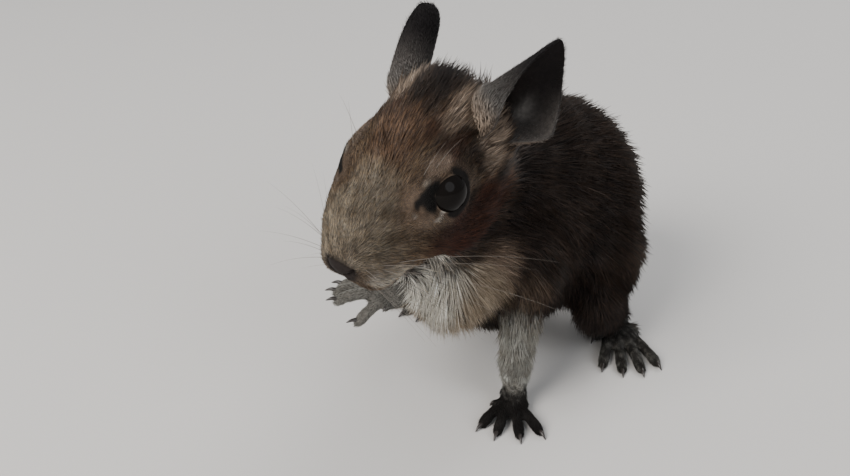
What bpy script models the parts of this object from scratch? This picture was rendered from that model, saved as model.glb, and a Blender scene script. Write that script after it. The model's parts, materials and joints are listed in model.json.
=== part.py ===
"""A young degu standing still, life size: left forefoot and hind feet down, right forepaw raised, tail laid behind.

+X is the animal's left, -Y the way its body faces, +Z up. Lengths are metres; mm() takes millimetres.
The flesh is modelled whole as one smooth body and then parted into head, neck, torso and legs. The origin is the
middle of the floor under it, found at the end.
"""

import math
import random

import bmesh
import bpy
from mathutils import Euler, Matrix, Vector


def mm(*values):
    """A point or a set of radii in millimetres, as a vector in metres."""
    return Vector(values) * 0.001


def degrees(*values):
    return Euler([math.radians(value) for value in values]).to_matrix().to_4x4()


# Driving sizes
GAP = 0.0003  # kept between pieces that meet
FLESH_VOXEL = 0.0012
FLESH_TRIANGLES = 3600
FOOT_DETAIL = 0.68  # share of a foot's triangles that is kept
SMOOTH_PASSES = 6
FLOOR_DEPTH = 0.02

# The head, in its own frame: nose tip at the origin, +Y to the back of the skull
HEAD_TURN = degrees(19.0, 5.0, -13.0)
NOSE_TIP = mm(-8.3, -32.9, 46.0)
EYE_RADIUS = 0.0044
EYE_CENTRE = mm(8.3, 19.5, 5.8)
EYE_TURN = degrees(0, -16.0, -14.0)
LID_THICKNESS = 0.0006
LID_OPENING = mm(6.0, 4.7, 4.1)
CLEFT_GROOVE = 0.0004
MOUTH_GROOVE = 0.00065
NOSTRIL = mm(1.2, 1.3, 0.65)

# The ears are thin cups that open sideways, the right one rolled up more tightly. Each form is in the head's frame,
# and both are given as for a left ear. Curl is in degrees at the tip, and what is added to it at the root. Flare
# spreads the root over the crown, lean and skew bend the tip along and across the way that the ear opens, and tip
# moves the rounded end that way.
EAR_THICKNESS = 0.0007
EAR_SUNK = 0.14  # share of the length that stands in the head
EAR_GRIP, EAR_GRIP_HEIGHT = 0.35, 0.42  # the width at the root as a share, and how far up it has grown to the whole
EAR_FORMS = {
    "left": {
        "root": mm(8.3, 32.8, 10.2),
        "axis": Vector((0.31, 0.66, 0.68)),
        "opens": Vector((0.90, -0.20, 0.10)),
        "length": 0.0185,
        "width": 0.0142,
        "curl": (60, 50),
        "taper": 1.9,
        "narrow": 0.88,
        "flare": 0.0060,
        "lean": 0.0010,
        "skew": 0.0009,
        "tip": 0.0,
    },
    "right": {
        "root": mm(7.2, 32.0, 7.2),
        "axis": Vector((0.20, 0.62, 0.77)),
        "opens": Vector((0.95, -0.30, 0.10)),
        "length": 0.0193,
        "width": 0.0092,
        "curl": (90, 7),
        "taper": 7.0,
        "narrow": 1.0,
        "flare": 0.0,
        "lean": -0.0030,
        "skew": 0.0,
        "tip": 0.0040,
    },
}

# Where the feet begin, and their toes
LEFT_WRIST = mm(10.2, 4.2, 4.35)
RIGHT_WRIST = mm(-6.8, -12.8, 32.0)
HEEL = mm(14.6, 53.5, 0)
TOE_RADIUS = 0.00105
CLAW_LENGTH = 0.0024
HANGING_TOE = (0.0026, 0.0042)  # how far it reaches forwards and down

# Tail
TAIL_RADIUS = 0.0026
TAIL_TIP_RADIUS = 0.0015
TAIL_ROUTE = [
    mm(0, 54.0, 16.0),
    mm(-0.5, 63.0, 8.5),
    mm(-3.0, 72.0, 3.2),
    mm(-10.0, 87.0, 2.1),
    mm(-20.0, 102.0, 1.9),
    mm(-28.0, 117.0, 1.75),
    mm(-32.0, 132.0, 1.6),
    mm(-33.5, 146.0, 1.6),
]
TAIL_CUTS = (0.0, 0.36, 0.56, 0.74)  # where its pieces begin, as shares of its length
TUFT_LOCKS = 32
SHORT_LOCKS = 5  # the first ones are shorter
TUFT_SEED = 7
TUFT_DETAIL = 0.65  # share of the brush's triangles that is kept
LOCK_LENGTH = (0.0085, 0.0125)
LOCK_LIFT = (0.22, 0.42)  # how far a lock stands out, as a share of its length
LOCK_WIDTH = 0.0025
LOCK_THICKNESS = 0.0007
TURN_PER_LOCK = 2.4  # radians round the tail

HEAD = Matrix.Translation(NOSE_TIP) @ HEAD_TURN
SIDES = (("left", 1), ("right", -1))

COLOURS = {
    "coat": (0.16, 0.115, 0.075),
    "pale_coat": (0.42, 0.37, 0.28),
    "ear_skin": (0.10, 0.09, 0.095),
    "foot_skin": (0.20, 0.185, 0.17),
    "tail_coat": (0.09, 0.07, 0.055),
    "eye": (0.008, 0.006, 0.006),
}
ROUGHNESS = {"eye": 0.08, "ear_skin": 0.6}


def clear_scene():
    for old in list(bpy.data.objects):
        bpy.data.objects.remove(old)
    parts = bpy.data.collections.new("degu")
    bpy.context.scene.collection.children.link(parts)
    return parts


PARTS = clear_scene()


def finish(name):
    """The material of that name, made once."""
    material = bpy.data.materials.get(name)
    if material is None:
        material = bpy.data.materials.new(name)
        material.use_nodes = True
        shader = material.node_tree.nodes["Principled BSDF"]
        shader.inputs["Base Color"].default_value = (*COLOURS[name], 1)
        shader.inputs["Roughness"].default_value = ROUGHNESS.get(name, 0.85)
    return material


def new_object(name, bm):
    mesh = bpy.data.meshes.new(name)
    bm.to_mesh(mesh)
    bm.free()
    made = bpy.data.objects.new(name, mesh)
    PARTS.objects.link(made)
    return made


def remove(*objects):
    for old in objects:
        bpy.data.objects.remove(old)


def copy_of(source, name="copy"):
    made = bpy.data.objects.new(name, source.data.copy())
    PARTS.objects.link(made)
    return made


def evaluated_mesh(source):
    """The object's mesh with its modifiers applied, in world space."""
    graph = bpy.context.evaluated_depsgraph_get()
    evaluated = source.evaluated_get(graph)
    mesh = bpy.data.meshes.new_from_object(evaluated, depsgraph=graph)
    mesh.transform(evaluated.matrix_world)
    return mesh


def apply_modifiers(target):
    mesh = evaluated_mesh(target)
    target.modifiers.clear()
    target.data = mesh
    target.matrix_world = Matrix.Identity(4)


def modify(target, kind, **settings):
    """Adds one modifier, sets it, and applies it."""
    modifier = target.modifiers.new(kind.title(), kind)
    for key, value in settings.items():
        setattr(modifier, key, value)
    apply_modifiers(target)


def keep_largest(target):
    """Leaves only the largest closed surface of a mesh."""
    bm = bmesh.new()
    bm.from_mesh(target.data)
    seen, groups = set(), []
    for start in bm.verts:
        if start in seen:
            continue
        seen.add(start)
        group, waiting = [], [start]
        while waiting:
            vertex = waiting.pop()
            group.append(vertex)
            for edge in vertex.link_edges:
                other = edge.other_vert(vertex)
                if other not in seen:
                    seen.add(other)
                    waiting.append(other)
        groups.append(group)
    groups.sort(key=len)
    for group in groups[:-1]:
        bmesh.ops.delete(bm, geom=group, context="VERTS")
    bm.to_mesh(target.data)
    bm.free()


def boolean(target, operation, others, solver="MANIFOLD"):
    """One Boolean with a collection of closed meshes, which are then removed."""
    cutters = bpy.data.collections.new("cutters")
    bpy.context.scene.collection.children.link(cutters)
    for other in others:
        PARTS.objects.unlink(other)
        cutters.objects.link(other)
    modify(target, "BOOLEAN", operation=operation, solver=solver, operand_type="COLLECTION", collection=cutters)
    remove(*others)
    bpy.data.collections.remove(cutters)
    keep_largest(target)
    return target


def ball(centre, radii, turn=Matrix.Identity(4), rings=12, name="ball"):
    bm = bmesh.new()
    bmesh.ops.create_uvsphere(bm, u_segments=2 * rings, v_segments=rings, radius=1)
    scale = Matrix.Diagonal((*radii, 1))
    bm.transform(Matrix.Translation(centre) @ turn @ scale)
    return new_object(name, bm)


def block(centre, size):
    bm = bmesh.new()
    bmesh.ops.create_cube(bm, size=1)
    bm.transform(Matrix.Translation(centre) @ Matrix.Diagonal((*size, 1)))
    return new_object("block", bm)


def welded(mesh):
    """Closes the loose caps of a mesh made from a curve."""
    bm = bmesh.new()
    bm.from_mesh(mesh)
    bmesh.ops.remove_doubles(bm, verts=bm.verts, dist=1e-6)
    bmesh.ops.recalc_face_normals(bm, faces=bm.faces)
    bm.to_mesh(mesh)
    bm.free()
    return mesh


def limb(points, radii, name="limb", round_steps=2):
    """A tube along the points, its radius changing from point to point, with flat ends."""
    curve = bpy.data.curves.new(name, "CURVE")
    curve.dimensions = "3D"
    curve.bevel_depth = 1
    curve.bevel_resolution = round_steps
    curve.use_fill_caps = True
    spline = curve.splines.new("POLY")
    spline.points.add(len(points) - 1)
    for point, place, radius in zip(spline.points, points, radii):
        point.co = (*place, 1)
        point.radius = radius
    drawn = bpy.data.objects.new(name, curve)
    PARTS.objects.link(drawn)
    made = bpy.data.objects.new(name, welded(evaluated_mesh(drawn)))
    PARTS.objects.link(made)
    remove(drawn)
    return made


def smooth_path(points, steps=6):
    """Points along a Catmull-Rom curve through the given ones."""
    ends = [2 * points[0] - points[1], *points, 2 * points[-1] - points[-2]]
    path = []
    for a, b, c, d in zip(ends, ends[1:], ends[2:], ends[3:]):
        for step in range(steps):
            t = step / steps
            square, cube = (2 * a - 5 * b + 4 * c - d) * t**2, (3 * b - a - 3 * c + d) * t**3
            path.append((2 * b + (c - a) * t + square + cube) / 2)
    return [*path, points[-1]]


def mirrored(vector, side):
    return Vector((vector.x * side, vector.y, vector.z))


def mirrored_turn(turn, side):
    """The same turn seen in a mirror at the middle plane."""
    flip = Matrix.Diagonal((side, 1, 1, 1))
    return flip @ turn @ flip


def head_masses():
    """The balls that round off the skull, muzzle, cheeks, brows and chin."""
    middle = [
        (mm(0, 29.0, 1.6), mm(12.4, 14.5, 12.4)),
        (mm(0, 31.0, 9.6), mm(11.5, 11.0, 8.8)),
        (mm(0, 25.0, 8.2), mm(11.2, 11.0, 8.6)),
        (mm(0, 20.0, 5.4), mm(9.6, 10.5, 8.2)),
        (mm(0, 13.5, 0.4), mm(10.6, 12.5, 9.2)),
        (mm(0, 11.5, 3.0), mm(6.6, 9.5, 5.6)),
        (mm(0, 4.4, -0.6), mm(5.2, 4.6, 4.6)),
        (mm(0, 17.0, -6.6), mm(5.8, 12.0, 5.0)),
        (mm(0, 7.2, -6.8), mm(3.0, 3.8, 2.4)),
    ]
    paired = [
        (mm(6.6, 23.5, -3.4), mm(6.4, 10.0, 7.6)),
        (mm(3.9, 5.6, -3.0), mm(4.0, 4.9, 3.5)),
        (mm(6.6, 20.0, 7.2), mm(5.8, 8.5, 5.4)),
        (mm(7.5, 16.2, 1.6), mm(5.6, 8.2, 6.8)),
        (mm(9.0, 32.5, 6.6), mm(4.0, 4.8, 4.6)),
        (mm(7.4, 32.6, 9.6), mm(4.4, 4.6, 4.4)),
    ]
    masses = [ball(HEAD @ centre, radii, HEAD_TURN) for centre, radii in middle]
    for _, side in SIDES:
        for centre, radii in paired:
            masses.append(ball(HEAD @ mirrored(centre, side), radii, HEAD_TURN))
    return masses


def trunk_masses():
    neck_top = HEAD @ mm(0, 32.0, -2.0)
    throat = HEAD @ mm(0, 26.0, -8.0)
    return [
        limb([neck_top, mm(0, 6.0, 49.0), mm(0, 14.0, 42.0)], [0.0120, 0.0152, 0.0172], round_steps=4),
        limb([throat, mm(-0.5, -1.0, 37.5), mm(0, 6.0, 32.0)], [0.0085, 0.0110, 0.0130], round_steps=4),
        ball(mm(-0.5, -4.5, 32.5), mm(9.5, 9.0, 11.0), degrees(-20, 0, 0)),
        ball(mm(0, 7.0, 37.0), mm(15.5, 16.0, 18.0)),
        ball(mm(0, 24.0, 37.5), mm(19.5, 23.0, 24.0)),
        ball(mm(0, 33.0, 33.5), mm(21.5, 22.0, 24.5)),
        ball(mm(0, 38.0, 31.0), mm(24.0, 23.5, 25.0)),
        ball(mm(0, 30.0, 22.0), mm(15.5, 26.0, 14.0)),
    ]


def hind_leg_masses(side):
    def at(*values):
        return mirrored(mm(*values), side)

    return [
        ball(at(15.5, 39.5, 23.0), mm(9.5, 16.5, 15.5), mirrored_turn(degrees(-18, 0, 8), side)),
        ball(at(19.0, 29.0, 14.5), mm(5.6, 7.5, 7.5)),
        limb([at(19.5, 28.0, 12.0), at(17.5, 42.0, 7.5), at(15.2, 52.0, 5.0)], [0.0056, 0.0048, 0.0036]),
    ]


def foreleg_masses():
    left_route = [mm(10.6, 8.0, 30.0), mm(10.2, 6.5, 22.0), mm(10.0, 4.8, 13.0), LEFT_WRIST]
    right_route = [mm(-11.0, 6.0, 30.0), mm(-12.4, 3.5, 25.5), mm(-11.0, -5.0, 27.0), RIGHT_WRIST]
    return [
        ball(mm(10.5, 8.0, 32.0), mm(6.5, 8.5, 10.5)),
        limb(left_route, [0.0056, 0.0046, 0.0035, 0.0030]),
        ball(mm(-10.5, 6.5, 32.0), mm(6.5, 8.5, 10.0)),
        limb(right_route, [0.0056, 0.0048, 0.0038, 0.0030]),
    ]


def whole_flesh():
    """Head, neck, trunk and legs as one smooth closed body."""
    masses = head_masses() + trunk_masses() + foreleg_masses()
    for _, side in SIDES:
        masses += hind_leg_masses(side)
    bm = bmesh.new()
    for mass in masses:
        bm.from_mesh(mass.data)
    remove(*masses)
    flesh = new_object("flesh", bm)
    modify(flesh, "REMESH", mode="VOXEL", voxel_size=FLESH_VOXEL)
    modify(flesh, "SMOOTH", factor=0.5, iterations=SMOOTH_PASSES)
    modify(flesh, "TRIANGULATE")
    modify(flesh, "DECIMATE", ratio=FLESH_TRIANGLES / len(flesh.data.polygons))
    return flesh


def parted(whole, name, centre, radii, turn=Matrix.Identity(4), rings=10):
    """Takes what lies in a ball out of whole as a new object, and leaves whole clear of it by the gap."""
    region = ball(centre, radii, turn, rings)
    grown = ball(centre, radii + Vector((GAP, GAP, GAP)), turn, rings)
    piece = boolean(copy_of(whole, name), "INTERSECT", [region])
    boolean(whole, "DIFFERENCE", [grown])
    return piece


def clear_of(piece, neighbour):
    """Trims a piece back to the gap from the neighbour that it grows from."""
    fat = copy_of(neighbour, "fat")
    modify(fat, "DISPLACE", strength=GAP * 1.2, mid_level=0)
    return boolean(piece, "DIFFERENCE", [fat])


def trim_at_floor(piece):
    """Cuts the small flats that the piece stands on."""
    reach = 0.4
    ground = block(Vector((0, 0, -FLOOR_DEPTH / 2)), (reach, reach, FLOOR_DEPTH))
    return boolean(piece, "DIFFERENCE", [ground])


def part_flesh(flesh):
    """The head, neck, legs and torso, cut from the flesh with a thin gap between them."""
    cuts = {
        "head": (HEAD @ mm(0, 16.0, 5.0), mm(24, 24.5, 18.5), HEAD_TURN, 14),
        "neck": (mm(-0.5, 0, 52.0), mm(22, 11.0, 22.0), degrees(-30, 0, 0)),
        "foreleg_left": (mm(12.5, 6.0, 18.0), mm(7.5, 10.5, 19.0)),
        "foreleg_right": (mm(-12.5, -1.5, 27.5), mm(8.0, 16.0, 10.0), degrees(-8, 0, -8)),
    }
    for word, side in SIDES:
        turn = mirrored_turn(degrees(-10, 0, 8), side)
        cuts[f"hindleg_{word}"] = (mirrored(mm(19.5, 38.0, 15.0), side), mm(11.5, 21.0, 19.0), turn)
    nodes = {name: parted(flesh, name, *cut) for name, cut in cuts.items()}
    flesh.name = "torso"
    nodes["torso"] = flesh
    return nodes


def eye_cutters(side):
    """The socket ball and the almond opening between the lids."""
    centre = HEAD @ mirrored(EYE_CENTRE, side)
    turn = HEAD_TURN @ mirrored_turn(EYE_TURN, side)
    socket = EYE_RADIUS + GAP
    outwards = turn @ Vector((side * LID_OPENING.x, 0, 0))
    ball_cutter = ball(centre, (socket, socket, socket), turn, rings=9)
    return [ball_cutter, ball(centre + outwards, LID_OPENING, turn, rings=8)]


def on_surface(target, point):
    """The place on the target nearest to a point of the head's own frame."""
    return target.closest_point_on_mesh(HEAD @ point)[1]


def lip_line(head, side):
    """The groove between the lips, from the middle of the mouth to its corner."""
    route = [mm(0, 2.4, -5.6), mm(1.8, 2.9, -6.2), mm(3.8, 4.8, -6.6), mm(5.6, 7.6, -6.6), mm(7.0, 10.6, -6.0)]
    points = smooth_path([on_surface(head, mirrored(place, side)) for place in route], 2)
    return limb(points, [MOUTH_GROOVE] * len(points), round_steps=1)


def add_face(head):
    """Lids round the eyes, nostrils, the cleft of the upper lip and the line of the mouth."""
    lid = EYE_RADIUS + GAP + LID_THICKNESS
    lids = [ball(HEAD @ mirrored(EYE_CENTRE, side), (lid, lid, lid), rings=9) for _, side in SIDES]
    boolean(head, "UNION", lids)
    for _, side in SIDES:
        boolean(head, "DIFFERENCE", eye_cutters(side))
        slant = HEAD_TURN @ mirrored_turn(degrees(0, 38, 30), side)
        nostril = ball(on_surface(head, mirrored(mm(2.0, 0.3, -1.7), side)), NOSTRIL, slant, rings=6)
        boolean(head, "DIFFERENCE", [nostril])
        boolean(head, "DIFFERENCE", [lip_line(head, side)])
    route = (mm(0, -0.4, -2.4), mm(0, 0.6, -3.8), mm(0, 2.2, -5.6))
    cleft = [on_surface(head, place) for place in route]
    boolean(head, "DIFFERENCE", [limb(cleft, [CLEFT_GROOVE] * len(cleft), round_steps=1)])


def eye(word, side):
    centre = HEAD @ mirrored(EYE_CENTRE, side)
    return ball(centre, (EYE_RADIUS,) * 3, HEAD_TURN, rings=9, name=f"eye_{word}")


def smooth_step(share):
    share = min(1.0, max(0.0, share))
    return share * share * (3 - 2 * share)


def ear_place(form, u, v):
    """A place on the middle of an ear's wall, in the ear's frame: u runs from rim to rim, v from root to tip."""
    up = max(0.0, v)
    taper = math.sqrt(1 - (up * 0.993) ** form["taper"])
    swell = form["narrow"] + (1 - form["narrow"]) * math.sin(math.pi * min(1, up * 1.25))
    grip = EAR_GRIP + (1 - EAR_GRIP) * smooth_step((v + EAR_SUNK) / EAR_GRIP_HEIGHT)
    half = form["width"] / 2 * swell * taper * grip
    curl = math.radians(form["curl"][0] + form["curl"][1] * (1 - up) ** 1.6)
    radius = half / math.sin(min(curl, math.pi / 2))
    bend = form["lean"] * up**2 + form["tip"] * (1 - taper) - form["flare"] * (1 - up) ** 2 * (1 - u * u)
    sideways = radius * math.sin(u * curl) + form["skew"] * up**2
    return Vector((radius * (1 - math.cos(u * curl)) + bend, sideways, form["length"] * v))


def ear_stand(form):
    """The turn of an ear's frame in the head's: +Z along the ear, +X the way it opens."""
    axis = form["axis"].normalized()
    across = axis.cross(form["opens"]).normalized()
    return Matrix((across.cross(axis), across, axis)).transposed().to_4x4()


def ear(word, side):
    """A curled leaf, given its thickness, standing on the side of the skull."""
    across, along = 8, 12
    form = EAR_FORMS[word]
    bm = bmesh.new()
    rows = []
    for j in range(along + 1):
        v = (1 + EAR_SUNK) * j / along - EAR_SUNK
        rows.append([bm.verts.new(ear_place(form, 2 * i / across - 1, v)) for i in range(across + 1)])
    for low, high in zip(rows, rows[1:]):
        for a, b, c, d in zip(low, low[1:], high[1:], high):
            bm.faces.new((a, b, c, d))
    bmesh.ops.recalc_face_normals(bm, faces=bm.faces)
    made = new_object(f"ear_{word}", bm)
    modify(made, "SOLIDIFY", thickness=EAR_THICKNESS, offset=0)
    flip = Matrix.Diagonal((side, 1, 1, 1))
    made.data.transform(HEAD @ flip @ Matrix.Translation(form["root"]) @ ear_stand(form))
    if side < 0:
        made.data.flip_normals()
    modify(made, "TRIANGULATE")
    return made


def toe(root, angle, length, drop, curl, radius=TOE_RADIUS, nail=CLAW_LENGTH):
    """A toe with its claw in the foot's frame: forwards is -Y, and angle turns it to the side."""
    forwards = Matrix.Rotation(math.radians(angle), 4, "Z")
    shape = [(0, 0), (0.45, 0.12 * curl), (0.8, -0.35 * curl), (1.0, -curl)]
    places = []
    for reach, rise in shape:
        height = rise * length * 0.3 - drop * reach
        places.append(root + forwards @ Vector((0, -length * reach, height)))
    digit = limb(places, [radius * size for size in (1.15, 1.0, 1.02, 0.8)], "toe", 1)
    claw_way = forwards @ Vector((0, -1, 0))
    tip = places[-1]
    claw_route = [
        tip - claw_way * 0.0008,
        tip + claw_way * nail * 0.45 + mm(0, 0, 0.25),
        tip + claw_way * nail + mm(0, 0, -0.55),
    ]
    claw = limb(claw_route, [radius * 0.62, radius * 0.5, radius * 0.12], "claw", 1)
    return [digit, claw]


def foot(name, palm, toes, ankle, placing):
    """A foot from its sole, toes, claws and the stub that meets the leg, fused, then placed."""
    pieces = [ball(*palm_ball, rings=5) for palm_ball in palm]
    for shape in toes:
        pieces += toe(*shape)
    pieces.append(limb(*ankle))
    for piece in pieces:
        piece.data.transform(placing)
    sole, others = pieces[0], pieces[1:]
    sole.name = name
    boolean(sole, "UNION", others)
    modify(sole, "DECIMATE", ratio=FOOT_DETAIL)
    return sole


def forefoot(name, placing, side, curl, drop, spread=1.0, hanging=False):
    """Four toes and a stub of a thumb round a small palm. The frame's origin is the wrist. One toe may hang."""
    palm = [
        (mirrored(mm(0.3, -2.4, -2.6), side), mm(3.3, 3.6, 1.9)),
        (mm(0, -0.6, -1.2), mm(2.9, 2.8, 2.5)),
    ]
    fan = ((-20, 6.0), (-1, 7.0), (23, 7.0), (48, 6.2))
    toes = []
    for index, (angle, length) in enumerate(fan):
        root = mirrored(mm(-2.0 + 1.5 * index, -3.6, -2.6), side)
        toes.append((root, angle * spread * side, length * 0.001, drop, curl))
    if hanging:
        root, angle = toes[0][:2]
        toes[0] = (root, angle, HANGING_TOE[0], HANGING_TOE[1], curl)
    thumb_root = mirrored(mm(-2.2, -2.0, -2.9), side)
    toes.append((thumb_root, -62 * side, 0.0014, 0.0, 0.1, TOE_RADIUS * 0.75, CLAW_LENGTH * 0.4))
    ankle = ([mm(0, 0.2, 3.0), mm(0, 0, 0), mm(0, -0.8, -1.8)], [0.0028, 0.0028, 0.0026])
    return foot(name, palm, toes, ankle, placing)


def hindfoot(name, placing, side):
    """A long narrow sole with four toes and a short inner one. The frame's origin is the heel."""
    palm = [
        (mirrored(mm(0.3, -17.0, 1.5), side), mm(4.2, 5.5, 1.9)),
        (mm(0, -8.0, 1.8), mm(3.0, 11.0, 2.3)),
        (mm(0, 0, 2.2), mm(2.9, 3.6, 2.6)),
    ]
    fan = ((-14, 9.0), (-2, 10.5), (9, 10.5), (22, 8.5))
    toes = []
    for index, (angle, length) in enumerate(fan):
        root = mirrored(mm(-3.0 + 2.1 * index, -19.5, 1.4), side)
        toes.append((root, angle * side, length * 0.001, 0.0, 0.25, TOE_RADIUS * 1.1))
    toes.append((mirrored(mm(-3.4, -14.5, 1.3), side), -32 * side, 0.0040, 0.0, 0.1, TOE_RADIUS * 0.9))
    ankle = ([mm(0, -1.0, 2.4), mm(0, -1.5, 4.2), mm(0, -1.5, 6.5)], [0.0030, 0.0030, 0.0030])
    return foot(name, palm, toes, ankle, placing)


def feet():
    made = {}
    left = Matrix.Translation(LEFT_WRIST) @ degrees(0, 0, 8)
    made["forefoot_left"] = forefoot("forefoot_left", left, 1, 0.35, 0.0004)
    right = Matrix.Translation(RIGHT_WRIST) @ degrees(0, 0, -52) @ degrees(-22, 0, 0)
    made["forefoot_right"] = forefoot("forefoot_right", right, -1, 0.9, 0.0008, 0.62, hanging=True)
    for word, side in SIDES:
        name = f"hindfoot_{word}"
        placing = Matrix.Translation(mirrored(HEEL, side)) @ degrees(0, 0, 26 * side)
        made[name] = hindfoot(name, placing, side)
    return made


def tail_point(path, share):
    place = share * (len(path) - 1)
    index = min(int(place), len(path) - 2)
    return path[index].lerp(path[index + 1], place - index)


def tuft_lock(root, along, out, length, lift):
    """A flat lock that tapers to a point, leaves along the tail, and bends outwards."""
    across = along.cross(out).normalized()
    bm = bmesh.new()
    rings = []
    for share, wide, thick in ((0, 1.0, 1.0), (0.35, 1.0, 0.9), (0.72, 0.62, 0.6)):
        middle = root + along * length * share + out * length * lift * share * (0.6 + 0.4 * share)
        middle.z = max(middle.z, LOCK_THICKNESS / 2)
        half_width = across * LOCK_WIDTH * wide / 2
        half_thickness = out * LOCK_THICKNESS * thick / 2
        corners = [middle + way for way in (half_width, half_thickness, -half_width, -half_thickness)]
        rings.append([bm.verts.new(corner) for corner in corners])
    point = root + along * length + out * length * lift
    point.z = max(point.z, LOCK_THICKNESS / 4)
    tip = bm.verts.new(point)
    for low, high in zip(rings, rings[1:]):
        for a, b, c, d in zip(low, low[1:] + low[:1], high[1:] + high[:1], high):
            bm.faces.new((a, b, c, d))
    for a, b in zip(rings[-1], rings[-1][1:] + rings[-1][:1]):
        bm.faces.new((a, b, tip))
    bm.faces.new(rings[0])
    bmesh.ops.triangulate(bm, faces=bm.faces)
    bmesh.ops.recalc_face_normals(bm, faces=bm.faces)
    return new_object("lock", bm)


def tail_tuft(path):
    """The brush: a thin core that carries flat overlapping locks on every side."""
    start, steps = TAIL_CUTS[-1], 8
    shares = [start + (1 - start) * step / steps for step in range(steps + 1)]
    radii = [TAIL_TIP_RADIUS * (1 - 0.45 * step / steps) for step in range(steps + 1)]
    core = limb([tail_point(path, share) for share in shares], radii, "tail_tuft")
    chance = random.Random(TUFT_SEED)
    locks = []
    for index in range(TUFT_LOCKS):
        place = start + (1 - start) * (0.03 + 0.94 * index / TUFT_LOCKS)
        root = tail_point(path, place)
        along = (tail_point(path, min(1, place + 0.02)) - tail_point(path, place - 0.02)).normalized()
        level = along.cross(Vector((0, 0, 1))).normalized()
        angle = index * TURN_PER_LOCK + chance.uniform(-0.25, 0.25)
        out = level * math.cos(angle) + level.cross(along) * math.sin(angle)
        length = chance.uniform(*LOCK_LENGTH) * (0.8 if index < SHORT_LOCKS else 1)
        lift = chance.uniform(*LOCK_LIFT)
        locks.append(tuft_lock(root + out * radii[-1] * 0.6, along, out, length, lift))
    boolean(core, "UNION", locks)
    modify(core, "DECIMATE", ratio=TUFT_DETAIL)
    return core


def tail():
    """Three lengths of tail, and the brush at its end."""
    path = smooth_path(TAIL_ROUTE, 8)
    steps = 10
    nodes = {}
    for index, (start, end) in enumerate(zip(TAIL_CUTS, TAIL_CUTS[1:])):
        shares = [start + (end - start) * i / steps for i in range(steps + 1)]
        points = [tail_point(path, share) for share in shares]
        along = (points[-1] - points[-2]).normalized()
        points[-1] = points[-1] - along * GAP
        radii = [TAIL_RADIUS + (TAIL_TIP_RADIUS - TAIL_RADIUS) * share for share in shares]
        name = f"tail_{index + 1}"
        nodes[name] = limb(points, radii, name)
    nodes["tail_tuft"] = tail_tuft(path)
    return nodes


def settle(nodes):
    """Moves the whole animal so that the origin is on the floor, under the middle of its box."""
    corners = [vertex.co for node in nodes.values() for vertex in node.data.vertices]
    low = Vector([min(corner[k] for corner in corners) for k in range(3)])
    high = Vector([max(corner[k] for corner in corners) for k in range(3)])
    middle = (low + high) / 2
    for node in nodes.values():
        node.data.transform(Matrix.Translation((-middle.x, -middle.y, -low.z)))


def finish_name(node_name):
    finishes = {"eye": "eye", "ear": "ear_skin", "foot": "foot_skin", "tail": "tail_coat", "leg": "pale_coat"}
    return next((finish for word, finish in finishes.items() if word in node_name), "coat")


def main():
    nodes = part_flesh(whole_flesh())
    add_face(nodes["head"])
    made_feet = feet()
    for name, made in made_feet.items():
        clear_of(made, nodes[name.replace("foot", "leg")])
    for neighbour in ("neck", "torso", "head"):
        clear_of(made_feet["forefoot_right"], nodes[neighbour])
    nodes.update(made_feet)
    nodes.update(tail())
    clear_of(nodes["tail_1"], nodes["torso"])
    clear_of(nodes["tail_tuft"], nodes["tail_3"])
    for name in list(nodes):
        if "foot_left" in name or "hindfoot" in name or "tail" in name or "hindleg" in name:
            trim_at_floor(nodes[name])
    for word, side in SIDES:
        nodes[f"eye_{word}"] = eye(word, side)
        nodes[f"ear_{word}"] = ear(word, side)
        for neighbour in ("head", "neck", "torso"):
            clear_of(nodes[f"ear_{word}"], nodes[neighbour])
    settle(nodes)
    for name, node in nodes.items():
        node.name = name
        node.data.materials.clear()
        node.data.materials.append(finish(finish_name(name)))
        node.data.shade_smooth()
        node.data.set_sharp_from_angle(angle=math.radians(45))


main()
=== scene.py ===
"""The look of a young degu: skin, a coat of tapered tufts, eyes, claws and whiskers over its solids."""

import json
import math
import random

import bmesh
import bpy
import numpy as np
from mathutils import Euler, Matrix, Vector
from mathutils.bvhtree import BVHTree

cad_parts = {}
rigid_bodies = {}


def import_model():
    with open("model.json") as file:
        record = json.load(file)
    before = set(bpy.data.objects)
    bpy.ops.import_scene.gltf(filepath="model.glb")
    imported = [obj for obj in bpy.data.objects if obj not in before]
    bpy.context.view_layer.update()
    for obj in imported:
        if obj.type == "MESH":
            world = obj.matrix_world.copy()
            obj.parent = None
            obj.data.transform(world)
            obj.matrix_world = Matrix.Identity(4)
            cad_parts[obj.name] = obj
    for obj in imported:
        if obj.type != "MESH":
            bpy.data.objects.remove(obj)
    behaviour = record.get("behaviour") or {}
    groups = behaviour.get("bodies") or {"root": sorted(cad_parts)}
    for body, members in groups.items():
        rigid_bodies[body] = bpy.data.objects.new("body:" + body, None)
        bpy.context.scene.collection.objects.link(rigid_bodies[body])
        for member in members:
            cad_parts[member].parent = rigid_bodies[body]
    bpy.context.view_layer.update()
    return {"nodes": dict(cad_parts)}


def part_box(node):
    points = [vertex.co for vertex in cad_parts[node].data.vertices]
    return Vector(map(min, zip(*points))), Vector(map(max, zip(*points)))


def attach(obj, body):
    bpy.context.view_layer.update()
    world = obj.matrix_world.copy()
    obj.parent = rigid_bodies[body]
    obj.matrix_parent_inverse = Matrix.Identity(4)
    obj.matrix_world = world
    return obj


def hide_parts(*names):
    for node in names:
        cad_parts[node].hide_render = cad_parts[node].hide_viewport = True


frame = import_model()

bl_info = {
    "name": "Degu",
    "version": (1, 0, 0),
    "blender": (4, 5, 0),
    "location": "3D View > Sidebar > Degu",
    "description": "Skin, coat, eyes, claws, whiskers and stage of a life-size degu",
    "category": "Object",
}


def mm(*values):
    return Vector(values) * 0.001


def degrees(*values):
    """A turn by three angles in degrees."""
    return Euler([math.radians(value) for value in values]).to_matrix().to_4x4()


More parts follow.
